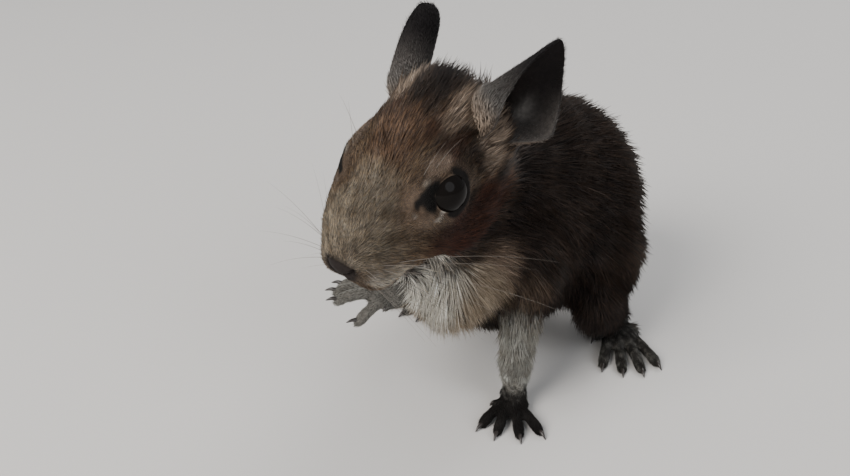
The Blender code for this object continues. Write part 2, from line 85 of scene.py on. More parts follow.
def turned(angle, axis):
    """A turn by one angle in degrees."""
    return Matrix.Rotation(math.radians(angle), 4, axis)


# The head's frame, as in the solids: the nose's tip at the origin, +Y to the back of the skull and +X to the
# animal's left
HEAD_TURN = degrees(19.0, 5.0, -13.0)
NOSE_TIP = mm(-8.3, -32.9, 46.0)
HEAD_AT_PIVOT = Matrix.Translation(NOSE_TIP) @ HEAD_TURN
EYE_CENTRE = mm(8.3, 19.5, 5.8)
EYE_RADIUS = 0.0044
EYE_TURN = degrees(0, -16.0, -14.0)
SIDES = (("left", 1), ("right", -1))


def middle_of(node):
    low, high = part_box(node)
    return (low + high) / 2


# The solids are moved so that the origin is on the floor, and the eyes tell by how much
PIVOT = middle_of("eye_left") - HEAD_AT_PIVOT @ EYE_CENTRE
HEAD = Matrix.Translation(PIVOT) @ HEAD_AT_PIVOT
HEAD_BACK = HEAD.inverted()

FLESH = [
    "head",
    "neck",
    "torso",
    "foreleg_left",
    "foreleg_right",
    "hindleg_left",
    "hindleg_right",
]
FEET = ["forefoot_left", "forefoot_right", "hindfoot_left", "hindfoot_right"]
TAIL = ["tail_1", "tail_2", "tail_3", "tail_tuft"]
EARS = ["ear_left", "ear_right"]

# Where the limbs are, in the solids' own construction frame
LEFT_WRIST = mm(10.2, 4.2, 4.35)
RIGHT_WRIST = mm(-6.8, -12.8, 32.0)
HEEL = mm(14.6, 53.5, 0)
TAIL_ROUTE = [
    mm(0, 52.0, 18.0),
    mm(0, 54.0, 16.0),
    mm(-0.5, 63.0, 8.5),
    mm(-3.0, 72.0, 3.2),
    mm(-10.0, 87.0, 2.1),
    mm(-20.0, 102.0, 1.9),
    mm(-28.0, 117.0, 1.75),
    mm(-32.0, 132.0, 1.6),
    mm(-33.5, 146.0, 1.6),
]
TAIL_RADII = (0.0030, 0.0024, 0.0021, 0.0019, 0.0017, 0.0015, 0.0013, 0.0011, 0.0008)

# The ears, as in the solids: thin cups that open sideways, given as for a left ear in the head's frame
EAR_THICKNESS = 0.00045
EAR_SUNK = 0.14
EAR_GRIP, EAR_GRIP_HEIGHT = 0.35, 0.42
EAR_FORMS = {
    "left": {
        "root": mm(8.3, 32.8, 10.2),
        "axis": Vector((0.31, 0.66, 0.68)),
        "opens": Vector((0.90, -0.20, 0.10)),
        "length": 0.0185,
        "width": 0.0142,
        "curl": (60, 50),
        "taper": 2.5,
        "point": 0.75,
        "narrow": 0.88,
        "flare": 0.0060,
        "lean": 0.0010,
        "skew": 0.0014,
        "tip": 0.0,
        # How bright the pale grey of the base is painted; the two ears differ here only by painted light
        "pale": 1.0,
    },
    "right": {
        "root": mm(7.2, 32.0, 7.2),
        "axis": Vector((0.20, 0.62, 0.77)),
        "opens": Vector((0.95, -0.30, 0.10)),
        "length": 0.0193,
        "width": 0.0092,
        "curl": (90, 7),
        "taper": 7.0,
        "point": 0.5,
        "narrow": 1.0,
        "flare": 0.0,
        "lean": -0.0030,
        "skew": 0.0,
        "tip": 0.0040,
        # Painted light: the right ear's pale base is painted 1.9 times as bright as the left's
        "pale": 1.9,
    },
}

# How fine the flesh and then the skin are remeshed, and how many triangles the skin keeps
FLESH_VOXEL = 0.0007
SKIN_VOXEL = 0.00042
SKIN_TRIANGLES = 130000
# Round the eyes and the nose, as far as this in metres, the skin's faces are parted once more
FINE_EYE, FINE_NOSE = 0.0072, 0.0075

# The bare tip of the nose in the head's frame: centre and radii, in mm
NOSE_PAD = ((0, 0.1, -1.1), (3.7, 2.6, 2.3))
# Grooves of the face in the head's frame, in mm: route, width, depth. All but the cleft have a mirrored twin.
NOSTRIL = ((1.3, 0.0, -2.2), (2.0, 0.2, -1.9), (2.7, 0.8, -1.2), (2.8, 1.4, -0.6)), 0.42, 0.75
MOUTH = ((0, 2.4, -5.6), (1.8, 2.9, -6.2), (3.8, 4.8, -6.6), (5.6, 7.6, -6.6), (7.0, 10.6, -6.0)), 0.5, 0.55
CLEFT = ((0, -0.4, -2.4), (0, 0.6, -3.8), (0, 2.2, -5.6)), 0.4, 0.45

# The lids' rim and the whiskers at their roots, in metres
LID_RADIUS = 0.00042
WHISKER_RADIUS = 0.000042

# The map that the skin and every tuft of the coat share, and how large a tuft's patch on it is
MAP_NAME = "OFBake"
PATCH_SIZE = 0.003
# No hair, claw or sole goes lower than these heights over the floor
FLOOR_GAP = 0.00012
CLAW_GAP = 0.00005
SOLE_GAP = 0.00002
COAT_PIECES = 8
# Clumps of hair per metre
CLUMP_SCALE = 380.0
# Hair shorter than this grows as straight spikes only. Longer hair takes bent tufts and as many spikes.
SHORT_HAIR = 0.0035
BENT_KINDS = 3
# How many points are measured together, to spare memory
AT_ONCE = 4096

# Where the camera stands from the solids' own origin, with its azimuth and elevation, and its lens in mm
CAMERA_PLACE = Vector((0.07229, -0.15823, 0.12696))
CAMERA_TURN = (math.radians(27.0), math.radians(27.0))
CAMERA_LENS = 43.2


def link(name, mesh):
    made = bpy.data.objects.new(name, mesh)
    bpy.context.scene.collection.objects.link(made)
    return made


def from_bmesh(name, bm):
    mesh = bpy.data.meshes.new(name)
    bm.to_mesh(mesh)
    bm.free()
    return link(name, mesh)


def remove(*objects):
    for old in objects:
        bpy.data.objects.remove(old)


def applied(target):
    """Puts the evaluated mesh in place of the object's own, and drops its modifiers."""
    graph = bpy.context.evaluated_depsgraph_get()
    mesh = bpy.data.meshes.new_from_object(target.evaluated_get(graph), depsgraph=graph)
    target.modifiers.clear()
    target.data = mesh
    return target


def modify(target, kind, **settings):
    modifier = target.modifiers.new(kind.title(), kind)
    for key, value in settings.items():
        setattr(modifier, key, value)
    return applied(target)


def smooth_path(points, steps=6):
    """Points along a Catmull-Rom curve through the given ones."""
    ends = [2 * points[0] - points[1], *points, 2 * points[-1] - points[-2]]
    path = []
    for a, b, c, d in zip(ends, ends[1:], ends[2:], ends[3:]):
        for step in range(steps):
            t = step / steps
            bend = 2 * b + (c - a) * t + (2 * a - 5 * b + 4 * c - d) * t**2
            path.append(0.5 * (bend + (3 * b - a - 3 * c + d) * t**3))
    return [*path, points[-1]]


def unit_ball(segments):
    """Points and faces of a ball of radius 1."""
    bm = bmesh.new()
    bmesh.ops.create_uvsphere(bm, u_segments=segments, v_segments=segments // 2, radius=1)
    points = np.array([list(vertex.co) for vertex in bm.verts])
    faces = [[vertex.index for vertex in face.verts] for face in bm.faces]
    bm.free()
    return points, faces


class Balls:
    """Many balls as one mesh, which a remesh turns into one body."""

    units = {segments: unit_ball(segments) for segments in (8, 10, 12, 16, 24)}

    def __init__(self):
        self.points, self.faces, self.count = [], [], 0

    def add(self, centre, radii, turn=None, segments=16):
        points, faces = self.units[segments]
        points = points * np.array(radii)
        if turn is not None:
            points = points @ np.array(turn.to_3x3()).T
        self.points.append(points + np.array(centre))
        self.faces += [[self.count + corner for corner in face] for face in faces]
        self.count += len(points)

    def chain(self, points, radii, steps=5, segments=12):
        """Balls close together along a smooth path."""
        path = smooth_path(points, steps)
        for index, place in enumerate(path):
            share = index / (len(path) - 1) * (len(radii) - 1)
            low = min(int(share), len(radii) - 2)
            radius = radii[low] + (radii[low + 1] - radii[low]) * (share - low)
            self.add(place, (radius,) * 3, segments=segments)

    def join(self, bm):
        mesh = bpy.data.meshes.new("balls")
        mesh.from_pydata(np.concatenate(self.points).tolist(), [], self.faces)
        bm.from_mesh(mesh)
        bpy.data.meshes.remove(mesh)


def mirrored(vector, side):
    return Vector((vector.x * side, vector.y, vector.z))


def eye_place(side):
    return HEAD @ mirrored(EYE_CENTRE, side)


def mirrored_turn(turn, side):
    flip = Matrix.Diagonal((side, 1, 1, 1))
    return flip @ turn @ flip


# Markings, with painted shade below the eyes, painted in this order: frame, centre in mm, radii in mm, which
# of the settings' colours, strength.
# Frame "head" is the head's own and "body" the solids' construction frame. A place off the middle is mirrored
# to the other side, unless its frame says that it is the only one.
PATCHES = [
    ("body", (0, 24, 8), (15, 40, 9), "belly", 0.9),
    ("body", (21, 36, 12), (9, 20, 9), "thigh", 0.8),
    ("body", (27, 37, 26), (6, 8, 11), "shoulder", 0.22),
    ("body", (9, -7, 37), (6, 6.5, 8), "shoulder", 1.0),
    ("body", (13.5, 1, 30), (4.5, 5.5, 6), "shoulder", 0.35),
    ("body", (0, -9, 30), (14, 11, 12), "chest", 1.0),
    ("body", (7, -10, 35), (5, 6, 5), "chest", 1.0),
    ("body", (-1, -15, 35), (8, 8, 8), "throat", 1.0),
    ("body only", (10.5, 3, 11), (7, 9, 18), "leg", 1.0),
    ("body only", (-11, -3, 27), (6, 15, 6), "leg", 1.0),
    ("head", (0, 16, 2), (18, 24, 18), "face", 1.0),
    ("head", (0, 19, 12), (6.0, 9, 8), "forehead", 0.8),
    ("head", (8.5, 22, 12), (2.4, 5, 3), "cheek", 0.6),
    ("head", (5, 23, 15), (1.8, 7, 3), "cheek", 0.6),
    ("head", (0, 5, 3), (10, 10, 8), "muzzle", 0.9),
    ("head", (2, 11, 10), (4.5, 4, 4), "muzzle", 0.6),
    # Painted shade: below and behind the eyes the head is painted the very dark reddish brown of the cheek,
    # darker than its own colour there
    ("head", (12, 22, -3), (8, 12, 7.5), "cheek", 0.95),
    ("head", (9, 17.5, -7), (5, 7, 5.5), "cheek", 0.85),
    ("head", (11.5, 14.8, -0.8), (5, 6.2, 5.2), "cheek", 0.8),
    ("head", (9, 21, -11), (8, 14, 4), "back", 0.75),
    ("head", (0, 33, 18), (2.8, 7, 6), "crown", 1.0),
    ("head", (1.5, 27, 16.5), (1.8, 5, 3), "crown", 0.6),
    ("head", (6.6, 28.2, 16), (3.3, 8.5, 4.4), "ring", 0.95),
    ("head", (9.5, 18, 12.2), (3.0, 5, 2.4), "ring", 0.6),
    ("head", (11.4, 28.6, 7.0), (3.2, 2.2, 5.0), "ring", 0.8),
    ("head", (10, 30, 11), (4, 3.5, 3.0), "ring", 0.9),
    ("head", (9.5, 14.8, 10.6), (1.6, 1.8, 0.9), "throat", 0.3),
    ("head", (10.3, 16.0, 9.2), (2.2, 2.5, 1.6), "eye", 1.0),
    ("head", (9.9, 14.5, 8.5), (2.0, 2.2, 1.3), "eye", 1.0),
    ("head", (9.4, 13.2, 8.0), (1.6, 1.7, 0.8), "eye", 1.0),
    ("head", (10.5, 14.9, 7.2), (1.8, 2.4, 1.7), "eye", 1.0),
    ("head", (11.6, 15.4, 4.8), (1.7, 2.5, 0.5), "throat", 0.28),
    ("head", (0, 12, -11), (8, 13, 5), "throat", 0.8),
    ("head", (6.4, 5.0, -2.6), (3.4, 4.4, 2.6), "throat", 0.35),
    ("head", (0, 3.5, -7.5), (5, 4, 3.5), "throat", 0.8),
]

# The lie of the coat. A guide is: place in mm, flow, length in mm, depth in mm, stand-out, tufts per mm2 and
# width in mm. The first list is in the head's frame and the others in the body's. Those of the limbs have no
# mirrored twin.
HEAD_GUIDES = [
    ((0, -0.5, 0), (0, 0.6, 0.8), 0.9, 0.15, 0.20, 30, 0.11),
    ((2.5, 0.5, -4), (0.9, 0.5, -0.4), 0.9, 0.2, 0.20, 30, 0.11),
    ((0, 7, 6), (0, 1, 0.35), 2.0, 0.5, 0.18, 28, 0.12),
    ((7, 8, -1), (0.4, 1, -0.1), 2.4, 0.7, 0.22, 26, 0.13),
    ((5, 3.5, -4), (0.8, 0.8, -0.3), 1.7, 0.4, 0.25, 28, 0.12),
    ((0, 6, -9), (0, 1, -0.4), 2.4, 0.6, 0.28, 24, 0.14),
    ((0, 14, 10), (0, 1, 0.3), 2.9, 1.0, 0.22, 24, 0.14),
    ((0, 21, 14), (0, 1, 0.15), 3.6, 1.4, 0.26, 21, 0.16),
    ((9, 17, 10), (0.3, 1, 0.3), 2.8, 1.1, 0.20, 24, 0.14),
    ((11, 27, 3), (0.2, 1, 0), 3.6, 1.5, 0.24, 20, 0.16),
    ((11, 22, -4), (0.2, 1, -0.3), 4.2, 1.7, 0.24, 15, 0.18),
    ((9, 14, -4), (0.2, 1, -0.2), 3.0, 1.1, 0.22, 22, 0.15),
    ((0, 32, 18), (0, 0.8, 0.6), 5.6, 2.0, 0.50, 11, 0.22),
    ((8, 30, 15), (0.2, 1, 0.3), 4.6, 1.8, 0.32, 13, 0.19),
    ((10, 33, 8), (0.4, 0.6, 0.7), 3.8, 1.0, 0.30, 14, 0.18),
    ((7, 18, -10), (0, 1, -0.5), 4.2, 1.5, 0.28, 13, 0.20),
    ((0, 20, -12), (0, 1, -0.6), 5.2, 1.8, 0.36, 11, 0.22),
    ((12, 19.5, 10.4), (0, 0.8, 0.7), 1.8, 0.9, 0.16, 26, 0.12),
    ((12, 19.5, 0.8), (0, 0.9, -0.5), 1.8, 0.9, 0.16, 26, 0.12),
    ((12, 14.2, 4.6), (0.1, 0.6, -0.8), 1.3, 0.8, 0.14, 26, 0.11),
    ((9.5, 13.4, 8.0), (0.2, 0.9, 0.2), 0.9, 0.9, 0.10, 26, 0.10),
    ((12, 25, 6.4), (0, 1, 0), 2.2, 1.1, 0.16, 24, 0.14),
]
BODY_GUIDES = [
    ((0, 6, 62), (0, 1, -0.2), 7.5, 2.7, 0.24, 9.2, 0.24),
    ((14, 2, 48), (0, 0.8, -0.6), 7.5, 2.6, 0.24, 9.2, 0.24),
    ((0, -13, 34), (0, 0.1, -1), 7.0, 2.5, 0.45, 9.9, 0.22),
    ((0, -4, 23), (0, 0.7, -0.7), 7.5, 2.5, 0.45, 9.9, 0.22),
    ((15, 8, 34), (0, 0.5, -0.8), 6.5, 2.2, 0.24, 9.9, 0.22),
    ((0, 24, 61), (0, 1, 0), 8.6, 3.0, 0.21, 8.5, 0.26),
    ((19, 24, 40), (0, 0.8, -0.55), 8.4, 3.0, 0.20, 8.5, 0.26),
    ((0, 44, 54), (0, 1, -0.6), 8.8, 3.0, 0.22, 8.5, 0.26),
    ((23, 42, 32), (0, 0.6, -0.8), 8.2, 2.8, 0.21, 8.5, 0.26),
    ((0, 61, 32), (0, 0.3, -1), 8.6, 3.0, 0.26, 8.5, 0.26),
    ((0, 22, 9), (0, 1, -0.1), 6.0, 2.0, 0.30, 8.5, 0.24),
    ((24, 34, 20), (0, 0.4, -0.9), 6.4, 2.0, 0.28, 9.9, 0.22),
    ((20, 25, 12), (0, 0.2, -1), 4.6, 1.2, 0.26, 11.4, 0.20),
    ((18, 43, 6), (0, 0.5, -0.8), 3.4, 0.8, 0.24, 12.8, 0.18),
    ((0, 58, 14), (0, 0.75, -0.6), 4.5, 1.0, 0.26, 11.4, 0.19),
]
LIMB_GUIDES = [
    ((10.5, 8, 27), (0, -0.1, -1), 4.8, 1.4, 0.30, 11.4, 0.20),
    ((10, 5.5, 16), (0.15, 0.05, -1), 4.2, 0.8, 0.36, 13, 0.18),
    ((10, 4.5, 8), (0, -0.3, -1), 2.2, 0.4, 0.22, 17, 0.15),
    ((-12.4, 3.5, 25.5), (0.1, -1, 0.1), 4.4, 1.2, 0.28, 12.8, 0.19),
    ((-11, -5, 27), (0.3, -1, 0.3), 3.0, 0.8, 0.26, 14.2, 0.18),
    ((-7.5, -11.5, 31), (0.1, -1, 0.3), 1.9, 0.4, 0.22, 17, 0.14),
]
FOOT_FUR = np.array([1.0, 0.03, 0.14, 26, 0.11])
TAIL_FUR = np.array([3.0, 0.35, 0.22, 16, 0.16])
TUFT_FUR = np.array([10.0, 0.4, 0.34, 14, 0.22])
TUFT_STARTS = 0.70


def toe(root, angle, length, drop, curl, radius=1.05, nail=2.4):
    """The middle line of one toe in its foot's frame, with its way, its thickness and its claw's length."""
    forwards = turned(angle, "Z")
    line = []
    for reach, rise in (0, 0), (0.45, 0.12 * curl), (0.8, -0.35 * curl), (1.0, -curl):
        line.append(mm(*root) + forwards @ mm(0, -length * reach, rise * length * 0.3 - drop * reach))
    return line, forwards, radius * 0.001, nail * 0.001


def forefoot_toes(side, curl, drop, spread, hanging):
    toes = []
    for index, (angle, length) in enumerate(((-20, 6.0), (-1, 7.0), (23, 7.0), (48, 6.2))):
        root = ((-2.0 + 1.5 * index) * side, -3.6, -2.6)
        reach, fall = (2.6, 4.2) if hanging and index == 0 else (length, drop)
        toes.append(toe(root, angle * spread * side, reach, fall, curl))
    toes.append(toe((-2.2 * side, -2.0, -2.9), -62 * side, 1.4, 0, 0.1, 0.8, 1.0))
    return toes


def hindfoot_toes(side):
    toes = []
    for index, (angle, length) in enumerate(((-14, 9.0), (-2, 10.5), (9, 10.5), (22, 8.5))):
        toes.append(toe(((-3.0 + 2.1 * index) * side, -19.5, 1.4), angle * side, length, 0, 0.25, 1.15))
    toes.append(toe((-3.4 * side, -14.5, 1.3), -32 * side, 4.0, 0, 0.1, 0.95))
    return toes


def feet():
    """Each foot: place, toes, balls of the sole (centre, radii), chain up into the leg, side. Sizes in mm."""
    left = Matrix.Translation(LEFT_WRIST) @ degrees(0, 0, 8)
    right = Matrix.Translation(RIGHT_WRIST) @ turned(-52, "Z") @ turned(-22, "X")
    fore_sole = [((0.3, -2.4, -2.6), (3.2, 3.5, 1.8)), ((0, -0.6, -1.2), (2.7, 2.6, 2.3))]
    fore_chain = [(0, 0.2, 4.0), (0, 0, 0), (0, -0.8, -1.6)], (0.0023, 0.0023, 0.0022)
    hind_sole = [((0.3, -17.0, 1.6), (4.1, 5.4, 1.7)), ((0, -8.0, 1.9), (2.9, 10.5, 2.1))]
    hind_sole.append(((0, 0, 2.3), (2.7, 3.4, 2.4)))
    hind_chain = [(0, -1.0, 2.4), (0, -1.5, 4.2), (0, -1.5, 6.5)], (0.0026, 0.0026, 0.0026)
    made = [
        (left, forefoot_toes(1, 0.35, 0.4, 1, False), fore_sole, fore_chain, 1),
        (right, forefoot_toes(-1, 0.9, 0.8, 0.62, True), fore_sole, fore_chain, -1),
    ]
    for _, side in SIDES:
        place = Matrix.Translation(mirrored(HEEL, side)) @ degrees(0, 0, 26 * side)
        made.append((place, hindfoot_toes(side), hind_sole, hind_chain, side))
    return [(Matrix.Translation(PIVOT) @ place, *rest) for place, *rest in made]


FEET_MADE = feet()
TAIL_PATH = [PIVOT + place for place in smooth_path(TAIL_ROUTE, 6)]


def add_feet(balls):
    for place, toes, sole, chain, side in FEET_MADE:
        for centre, radii in sole:
            balls.add(place @ mm(centre[0] * side, *centre[1:]), mm(*radii), place)
        balls.chain([place @ mm(*point) for point in chain[0]], chain[1])
        for line, _, radius, _ in toes:
            sizes = [radius * share for share in (1.1, 0.98, 1.04, 0.9)]
            balls.chain([place @ point for point in line], sizes, 5, 10)


def lid_ring(side, start=0.0, end=math.tau, wider=1.0, steps=64):
    """Places round an eye's opening, from one angle to another. It is drawn out to the front corner."""
    centre, turn = eye_place(side), HEAD @ mirrored_turn(EYE_TURN, side)
    ring = []
    for step in range(steps):
        angle = start + (end - start) * step / steps
        front = max(0.0, -math.cos(angle - 0.12)) ** 9
        along = -0.6 + (3.95 * math.cos(angle) - 1.5 * front) * wider
        up = 0.4 + (3.7 * math.sin(angle) + 0.5 * front) * wider
        out = math.sqrt(max(1.9**2, (EYE_RADIUS * 1000 + 0.1) ** 2 - along**2 - up**2))
        ring.append(centre + turn.to_3x3() @ mirrored(mm(out, along, up), side))
    return ring


def add_lids(balls):
    """A thin rim round each eye that follows the eyeball."""
    for _, side in SIDES:
        balls.add(eye_place(side), (EYE_RADIUS * 0.93,) * 3, segments=24)
        for point in lid_ring(side):
            balls.add(point, (LID_RADIUS,) * 3, segments=8)


def welded_copy(bm, names, grow):
    """Adds copies of the solids, welded and grown a little, so that the thin gaps between them close."""
    for name in names:
        part = bmesh.new()
        part.from_mesh(frame["nodes"][name].data)
        bmesh.ops.remove_doubles(part, verts=part.verts, dist=1e-6)
        bmesh.ops.recalc_face_normals(part, faces=part.faces)
        part.normal_update()
        for vertex in part.verts:
            vertex.co += vertex.normal * grow
        mesh = bpy.data.meshes.new("copy")
        part.to_mesh(mesh)
        part.free()
        bm.from_mesh(mesh)
        bpy.data.meshes.remove(mesh)


def read(items, field, kind=float, width=1):
    """One field of every item, such as the centres of the faces."""
    values = np.empty(len(items) * width, kind)
    items.foreach_get(field, values)
    return values.reshape(-1, width) if width > 1 else values


def coordinates(mesh):
    return read(mesh.vertices, "co", np.float32, 3).astype(float)


def vertex_normals(mesh):
    return read(mesh.vertex_normals, "vector", np.float32, 3).astype(float)


def in_frames(points):
    """The same points in mm in the head's frame and in the body's construction frame."""
    back = np.array(HEAD_BACK)
    head = points @ back[:3, :3].T + back[:3, 3]
    return {"head": head * 1000, "body": (points - np.array(PIVOT)) * 1000}


def smooth_step(low, high, value):
    share = np.clip((value - low) / (high - low), 0, 1)
    return share * share * (3 - 2 * share)


def nearest(points, places):
    """Distance in mm from each point to the nearest place, and which one it is."""
    spots = np.array([list(place) for place in places])
    gaps, which = np.empty(len(points)), np.empty(len(points), int)
    for start in range(0, len(points), AT_ONCE):
        part = slice(start, start + AT_ONCE)
        apart = np.linalg.norm(points[part, None, :] - spots[None], axis=2)
        gaps[part], which[part] = apart.min(1) * 1000, apart.argmin(1)
    return gaps, which


def ripple(points, size, seed):
    """Smooth noise from -1 to 1, made of a few waves in seeded directions."""
    chance = np.random.default_rng(seed)
    total = np.zeros(len(points))
    for _ in range(7):
        way = chance.normal(size=3)
        turns = points @ (way / np.linalg.norm(way)) * (math.tau / size) * chance.uniform(0.7, 1.5)
        total += np.sin(turns + chance.uniform(0, math.tau))
    return total / 3.5


def guides():
    """All guides in the solids' frame: places, flows and the other numbers."""
    places, flows, numbers = [], [], []
    turn = np.array(HEAD.to_3x3())
    for source, kind in ((HEAD_GUIDES, "head"), (BODY_GUIDES, "body"), (LIMB_GUIDES, "limb")):
        for place, flow, *rest in source:
            for _, side in SIDES:
                if side < 0 and (kind == "limb" or place[0] == 0):
                    continue
                spot, way = mirrored(mm(*place), side), mirrored(Vector(flow), side)
                places.append(list(HEAD @ spot if kind == "head" else PIVOT + spot))
                flows.append(turn @ np.array(way) if kind == "head" else np.array(way))
                numbers.append(rest)
    flows = np.array(flows)
    return np.array(places), flows / np.linalg.norm(flows, axis=1)[:, None], np.array(numbers)


GUIDES = guides()


def toe_ways():
    """Points along the feet with the way that their fur lies."""
    places, ways = [], []
    for place, toes, *_ in FEET_MADE:
        for line, _, _, _ in toes:
            points = [place @ point for point in smooth_path(line, 3)]
            for a, b in zip(points, points[1:]):
                places.append(list(a))
                ways.append(list((b - a).normalized()))
        for reach in (0, -6, -12, -18) if place.translation.z < PIVOT.z + 0.002 else (0, -3):
            places.append(list(place @ mm(0, reach, 1)))
            ways.append(list(place.to_3x3() @ Vector((0, -1, 0))))
    return np.array(places), np.array(ways)


TOE_PLACES, TOE_WAYS = toe_ways()


def is_foot(points):
    """1 on the feet, 0 elsewhere, with a soft edge."""
    gap, _ = nearest(points, TOE_PLACES)
    low = smooth_step(9.5, 7.0, (points[:, 2] - PIVOT.z) * 1000)
    paw = np.linalg.norm(points - np.array(PIVOT + RIGHT_WRIST + mm(-4.5, -4.0, -1)), axis=1) * 1000
    raised = smooth_step(9.0, 7.4, paw) * smooth_step(4.2, 2.8, gap)
    return np.maximum(smooth_step(4.6, 3.0, gap) * low, raised)


def on_tail(points):
    """How much of each point belongs to the tail, how far along it is, and the nearest place on the path."""
    gap, index = nearest(points, TAIL_PATH)
    share = index / (len(TAIL_PATH) - 1)
    behind = smooth_step(59.0, 62.0, (points[:, 1] - PIVOT.y) * 1000)
    return smooth_step(5.0, 3.6, gap) * behind, share, index


def unit(vectors):
    return vectors / np.maximum(np.linalg.norm(vectors, axis=1), 1e-9)[:, None]


def blend(first, second, share):
    share = share[:, None]
    return first * (1 - share) + second * share


LID_PLACES = [place for _, side in SIDES for place in lid_ring(side)]
CRESCENT_PLACES = [place for _, side in SIDES for place in lid_ring(side, 3.45, 4.4, 1.27, 12)]


def round_eyes(points, low, high):
    """How near each point is to an eye, 1 at the low distance in mm and 0 at the high, and the way out."""
    near, way = np.zeros(len(points)), np.zeros((len(points), 3))
    for _, side in SIDES:
        apart = points - np.array(eye_place(side))
        share = smooth_step(high, low, np.linalg.norm(apart, axis=1) * 1000)
        way[share > 0] = unit(apart[share > 0])
        near = np.maximum(near, share)
    return near, way


def grooming(points):
    """For each point: the flow of the coat, and its length, depth, stand-out, density and width."""
    places, flows, numbers = GUIDES
    gaps = ((points[:, None, :] - places[None]) ** 2).sum(2) * 1e6
    weight = 1 / (gaps + 2.0) ** 2
    weight /= weight.sum(1)[:, None]
    flow, rest = weight @ flows, weight @ numbers
    near, way = round_eyes(points, 4.9, 7.5)
    flow = blend(flow, way * 0.7 + flow * 0.7, near)
    rest[:, 0] *= 0.3 + 0.7 * smooth_step(0.6, 4.5, nearest(points, LID_PLACES)[0])
    foot = is_foot(points)
    _, index = nearest(points, TOE_PLACES)
    flow = blend(flow, TOE_WAYS[index], foot)
    rest = blend(rest, FOOT_FUR, foot)
    tail, share, index = on_tail(points)
    path = np.array([list(place) for place in TAIL_PATH])
    ways = unit(np.gradient(path, axis=0))
    tuft = smooth_step(TUFT_STARTS - 0.06, TUFT_STARTS + 0.04, share)
    fur = blend(many(TAIL_FUR, points), TUFT_FUR, tuft)
    return blend(flow, ways[index], tail), blend(rest, fur, tail)


def many(values, points):
    """The same row of values for every point."""
    return np.tile(values, (len(points), 1))


def from_nose(places):
    """How far each point is from the middle of the bare nose, which ends at 1."""
    centre, radii = NOSE_PAD
    return np.linalg.norm((places["head"] - np.array(centre)) / np.array(radii), axis=1)


def foot_colour(points, places, palette):
    """Dark feet, with pale hairs on the hind ones and the raised paw, and how far each point is on them."""
    height = places["body"][:, 2]
    raised = smooth_step(15.0, 22.0, height)
    hind = smooth_step(10.0, 25.0, places["body"][:, 1])
    tone = 0.5 + 0.5 * ripple(points, 0.004, 9)
    stripes = 0.3 * hind * smooth_step(0.1, 0.8, ripple(points, 0.0016, 11))
    paler = np.clip((0.03 + 0.12 * hind) * tone + stripes + 0.5 * raised, 0, 1)
    cuff = smooth_step(7.4, 3.6, height + ripple(points, 0.0012, 12))
    reach = is_foot(points) * np.maximum(np.maximum(hind, raised), cuff)
    return blend(many(palette["foot"], points), palette["leg"], paler), reach


def markings(points, palette):
    """The colour of the coat at each point, and in a fourth column how banded its hairs are."""
    places = in_frames(points)
    colour = many(palette["back"], points)
    edge = 1 + 0.12 * ripple(points, 0.006, 3) + 0.08 * ripple(points, 0.0025, 4)
    for kind, centre, radii, paint, strength in PATCHES:
        where, _, only = kind.partition(" ")
        middles = [centre] if centre[0] == 0 or only else [centre, (-centre[0], *centre[1:])]
        for middle in middles:
            reach = np.linalg.norm((places[where] - np.array(middle)) / np.array(radii), axis=1) * edge
            colour = blend(colour, palette[paint], strength * smooth_step(1.05, 0.55, reach))
    streak = ripple(places["head"] * np.array([0.001, 0.00025, 0.0006]), 0.0019, 6)
    colour[:, :3] *= 1 + streak[:, None] * np.array([0.30, 0.33, 0.36])
    colour = blend(colour, *foot_colour(points, places, palette))
    tail, share, _ = on_tail(points)
    colour = blend(colour, blend(many(palette["back"], points), palette["crown"], share), tail)
    crescent = 0.38 * smooth_step(0.8, 0.3, nearest(points, CRESCENT_PLACES)[0])
    colour = blend(colour, palette["throat"], crescent)
    rim = smooth_step(0.95, 0.6, nearest(points, LID_PLACES)[0])
    colour = blend(colour, palette["eye"], rim)
    return blend(colour, palette["nose"], smooth_step(1.15, 0.9, from_nose(places)))


def bareness(points):
    """1 where no hair grows: the nose and the lids' rims."""
    ball, _ = round_eyes(points, 4.55, 4.75)
    rim = smooth_step(0.75, 0.6, nearest(points, LID_PLACES)[0])
    return np.maximum(smooth_step(1.05, 0.85, from_nose(in_frames(points))), np.maximum(ball, rim))


def move_to(mesh, points):
    mesh.vertices.foreach_set("co", points.astype(np.float32).ravel())
    mesh.update()


def sink(mesh, amount):
    """Moves the vertices inwards along their normals, by an amount in mm for each."""
    move_to(mesh, coordinates(mesh) - vertex_normals(mesh) * (amount * 0.001)[:, None])


def stand_on_floor(mesh):
    """Flattens what is lower than the floor."""
    points = coordinates(mesh)
    points[:, 2] = np.maximum(points[:, 2], SOLE_GAP)
    move_to(mesh, points)


def body_mesh():
    """Trunk, head, limbs and tail as one surface, inside the solids by the depth of the coat."""
    bm, balls = bmesh.new(), Balls()
    welded_copy(bm, FLESH, 0.0002)
    for _, side in SIDES:
        balls.add(eye_place(side), (EYE_RADIUS * 0.96,) * 3, segments=24)
    balls.join(bm)
    flesh = modify(from_bmesh("flesh", bm), "REMESH", mode="VOXEL", voxel_size=FLESH_VOXEL)
    modify(flesh, "SMOOTH", factor=0.5, iterations=10)
    points = coordinates(flesh.data)
    _, numbers = grooming(points)
    near, _ = round_eyes(points, 6.0, 8.0)
    sink(flesh.data, numbers[:, 1] * (1 - 0.5 * near))
    bm, balls = bmesh.new(), Balls()
    bm.from_mesh(flesh.data)
    add_feet(balls)
    balls.chain([PIVOT + place for place in TAIL_ROUTE], TAIL_RADII, 10)
    add_lids(balls)
    for name, side in SIDES:
        balls.add(ear_stand(EAR_FORMS[name], side) @ mm(1.2, 0, -0.6), mm(2.8, 3.2, 2.4), HEAD_TURN)
    balls.join(bm)
    skin = modify(from_bmesh("skin", bm), "REMESH", mode="VOXEL", voxel_size=SKIN_VOXEL)
    modify(skin, "SMOOTH", factor=0.5, iterations=3)
    remove(flesh)
    modify(skin, "DECIMATE", ratio=min(1.0, SKIN_TRIANGLES / (len(skin.data.polygons) * 2)))
    stand_on_floor(skin.data)
    return skin


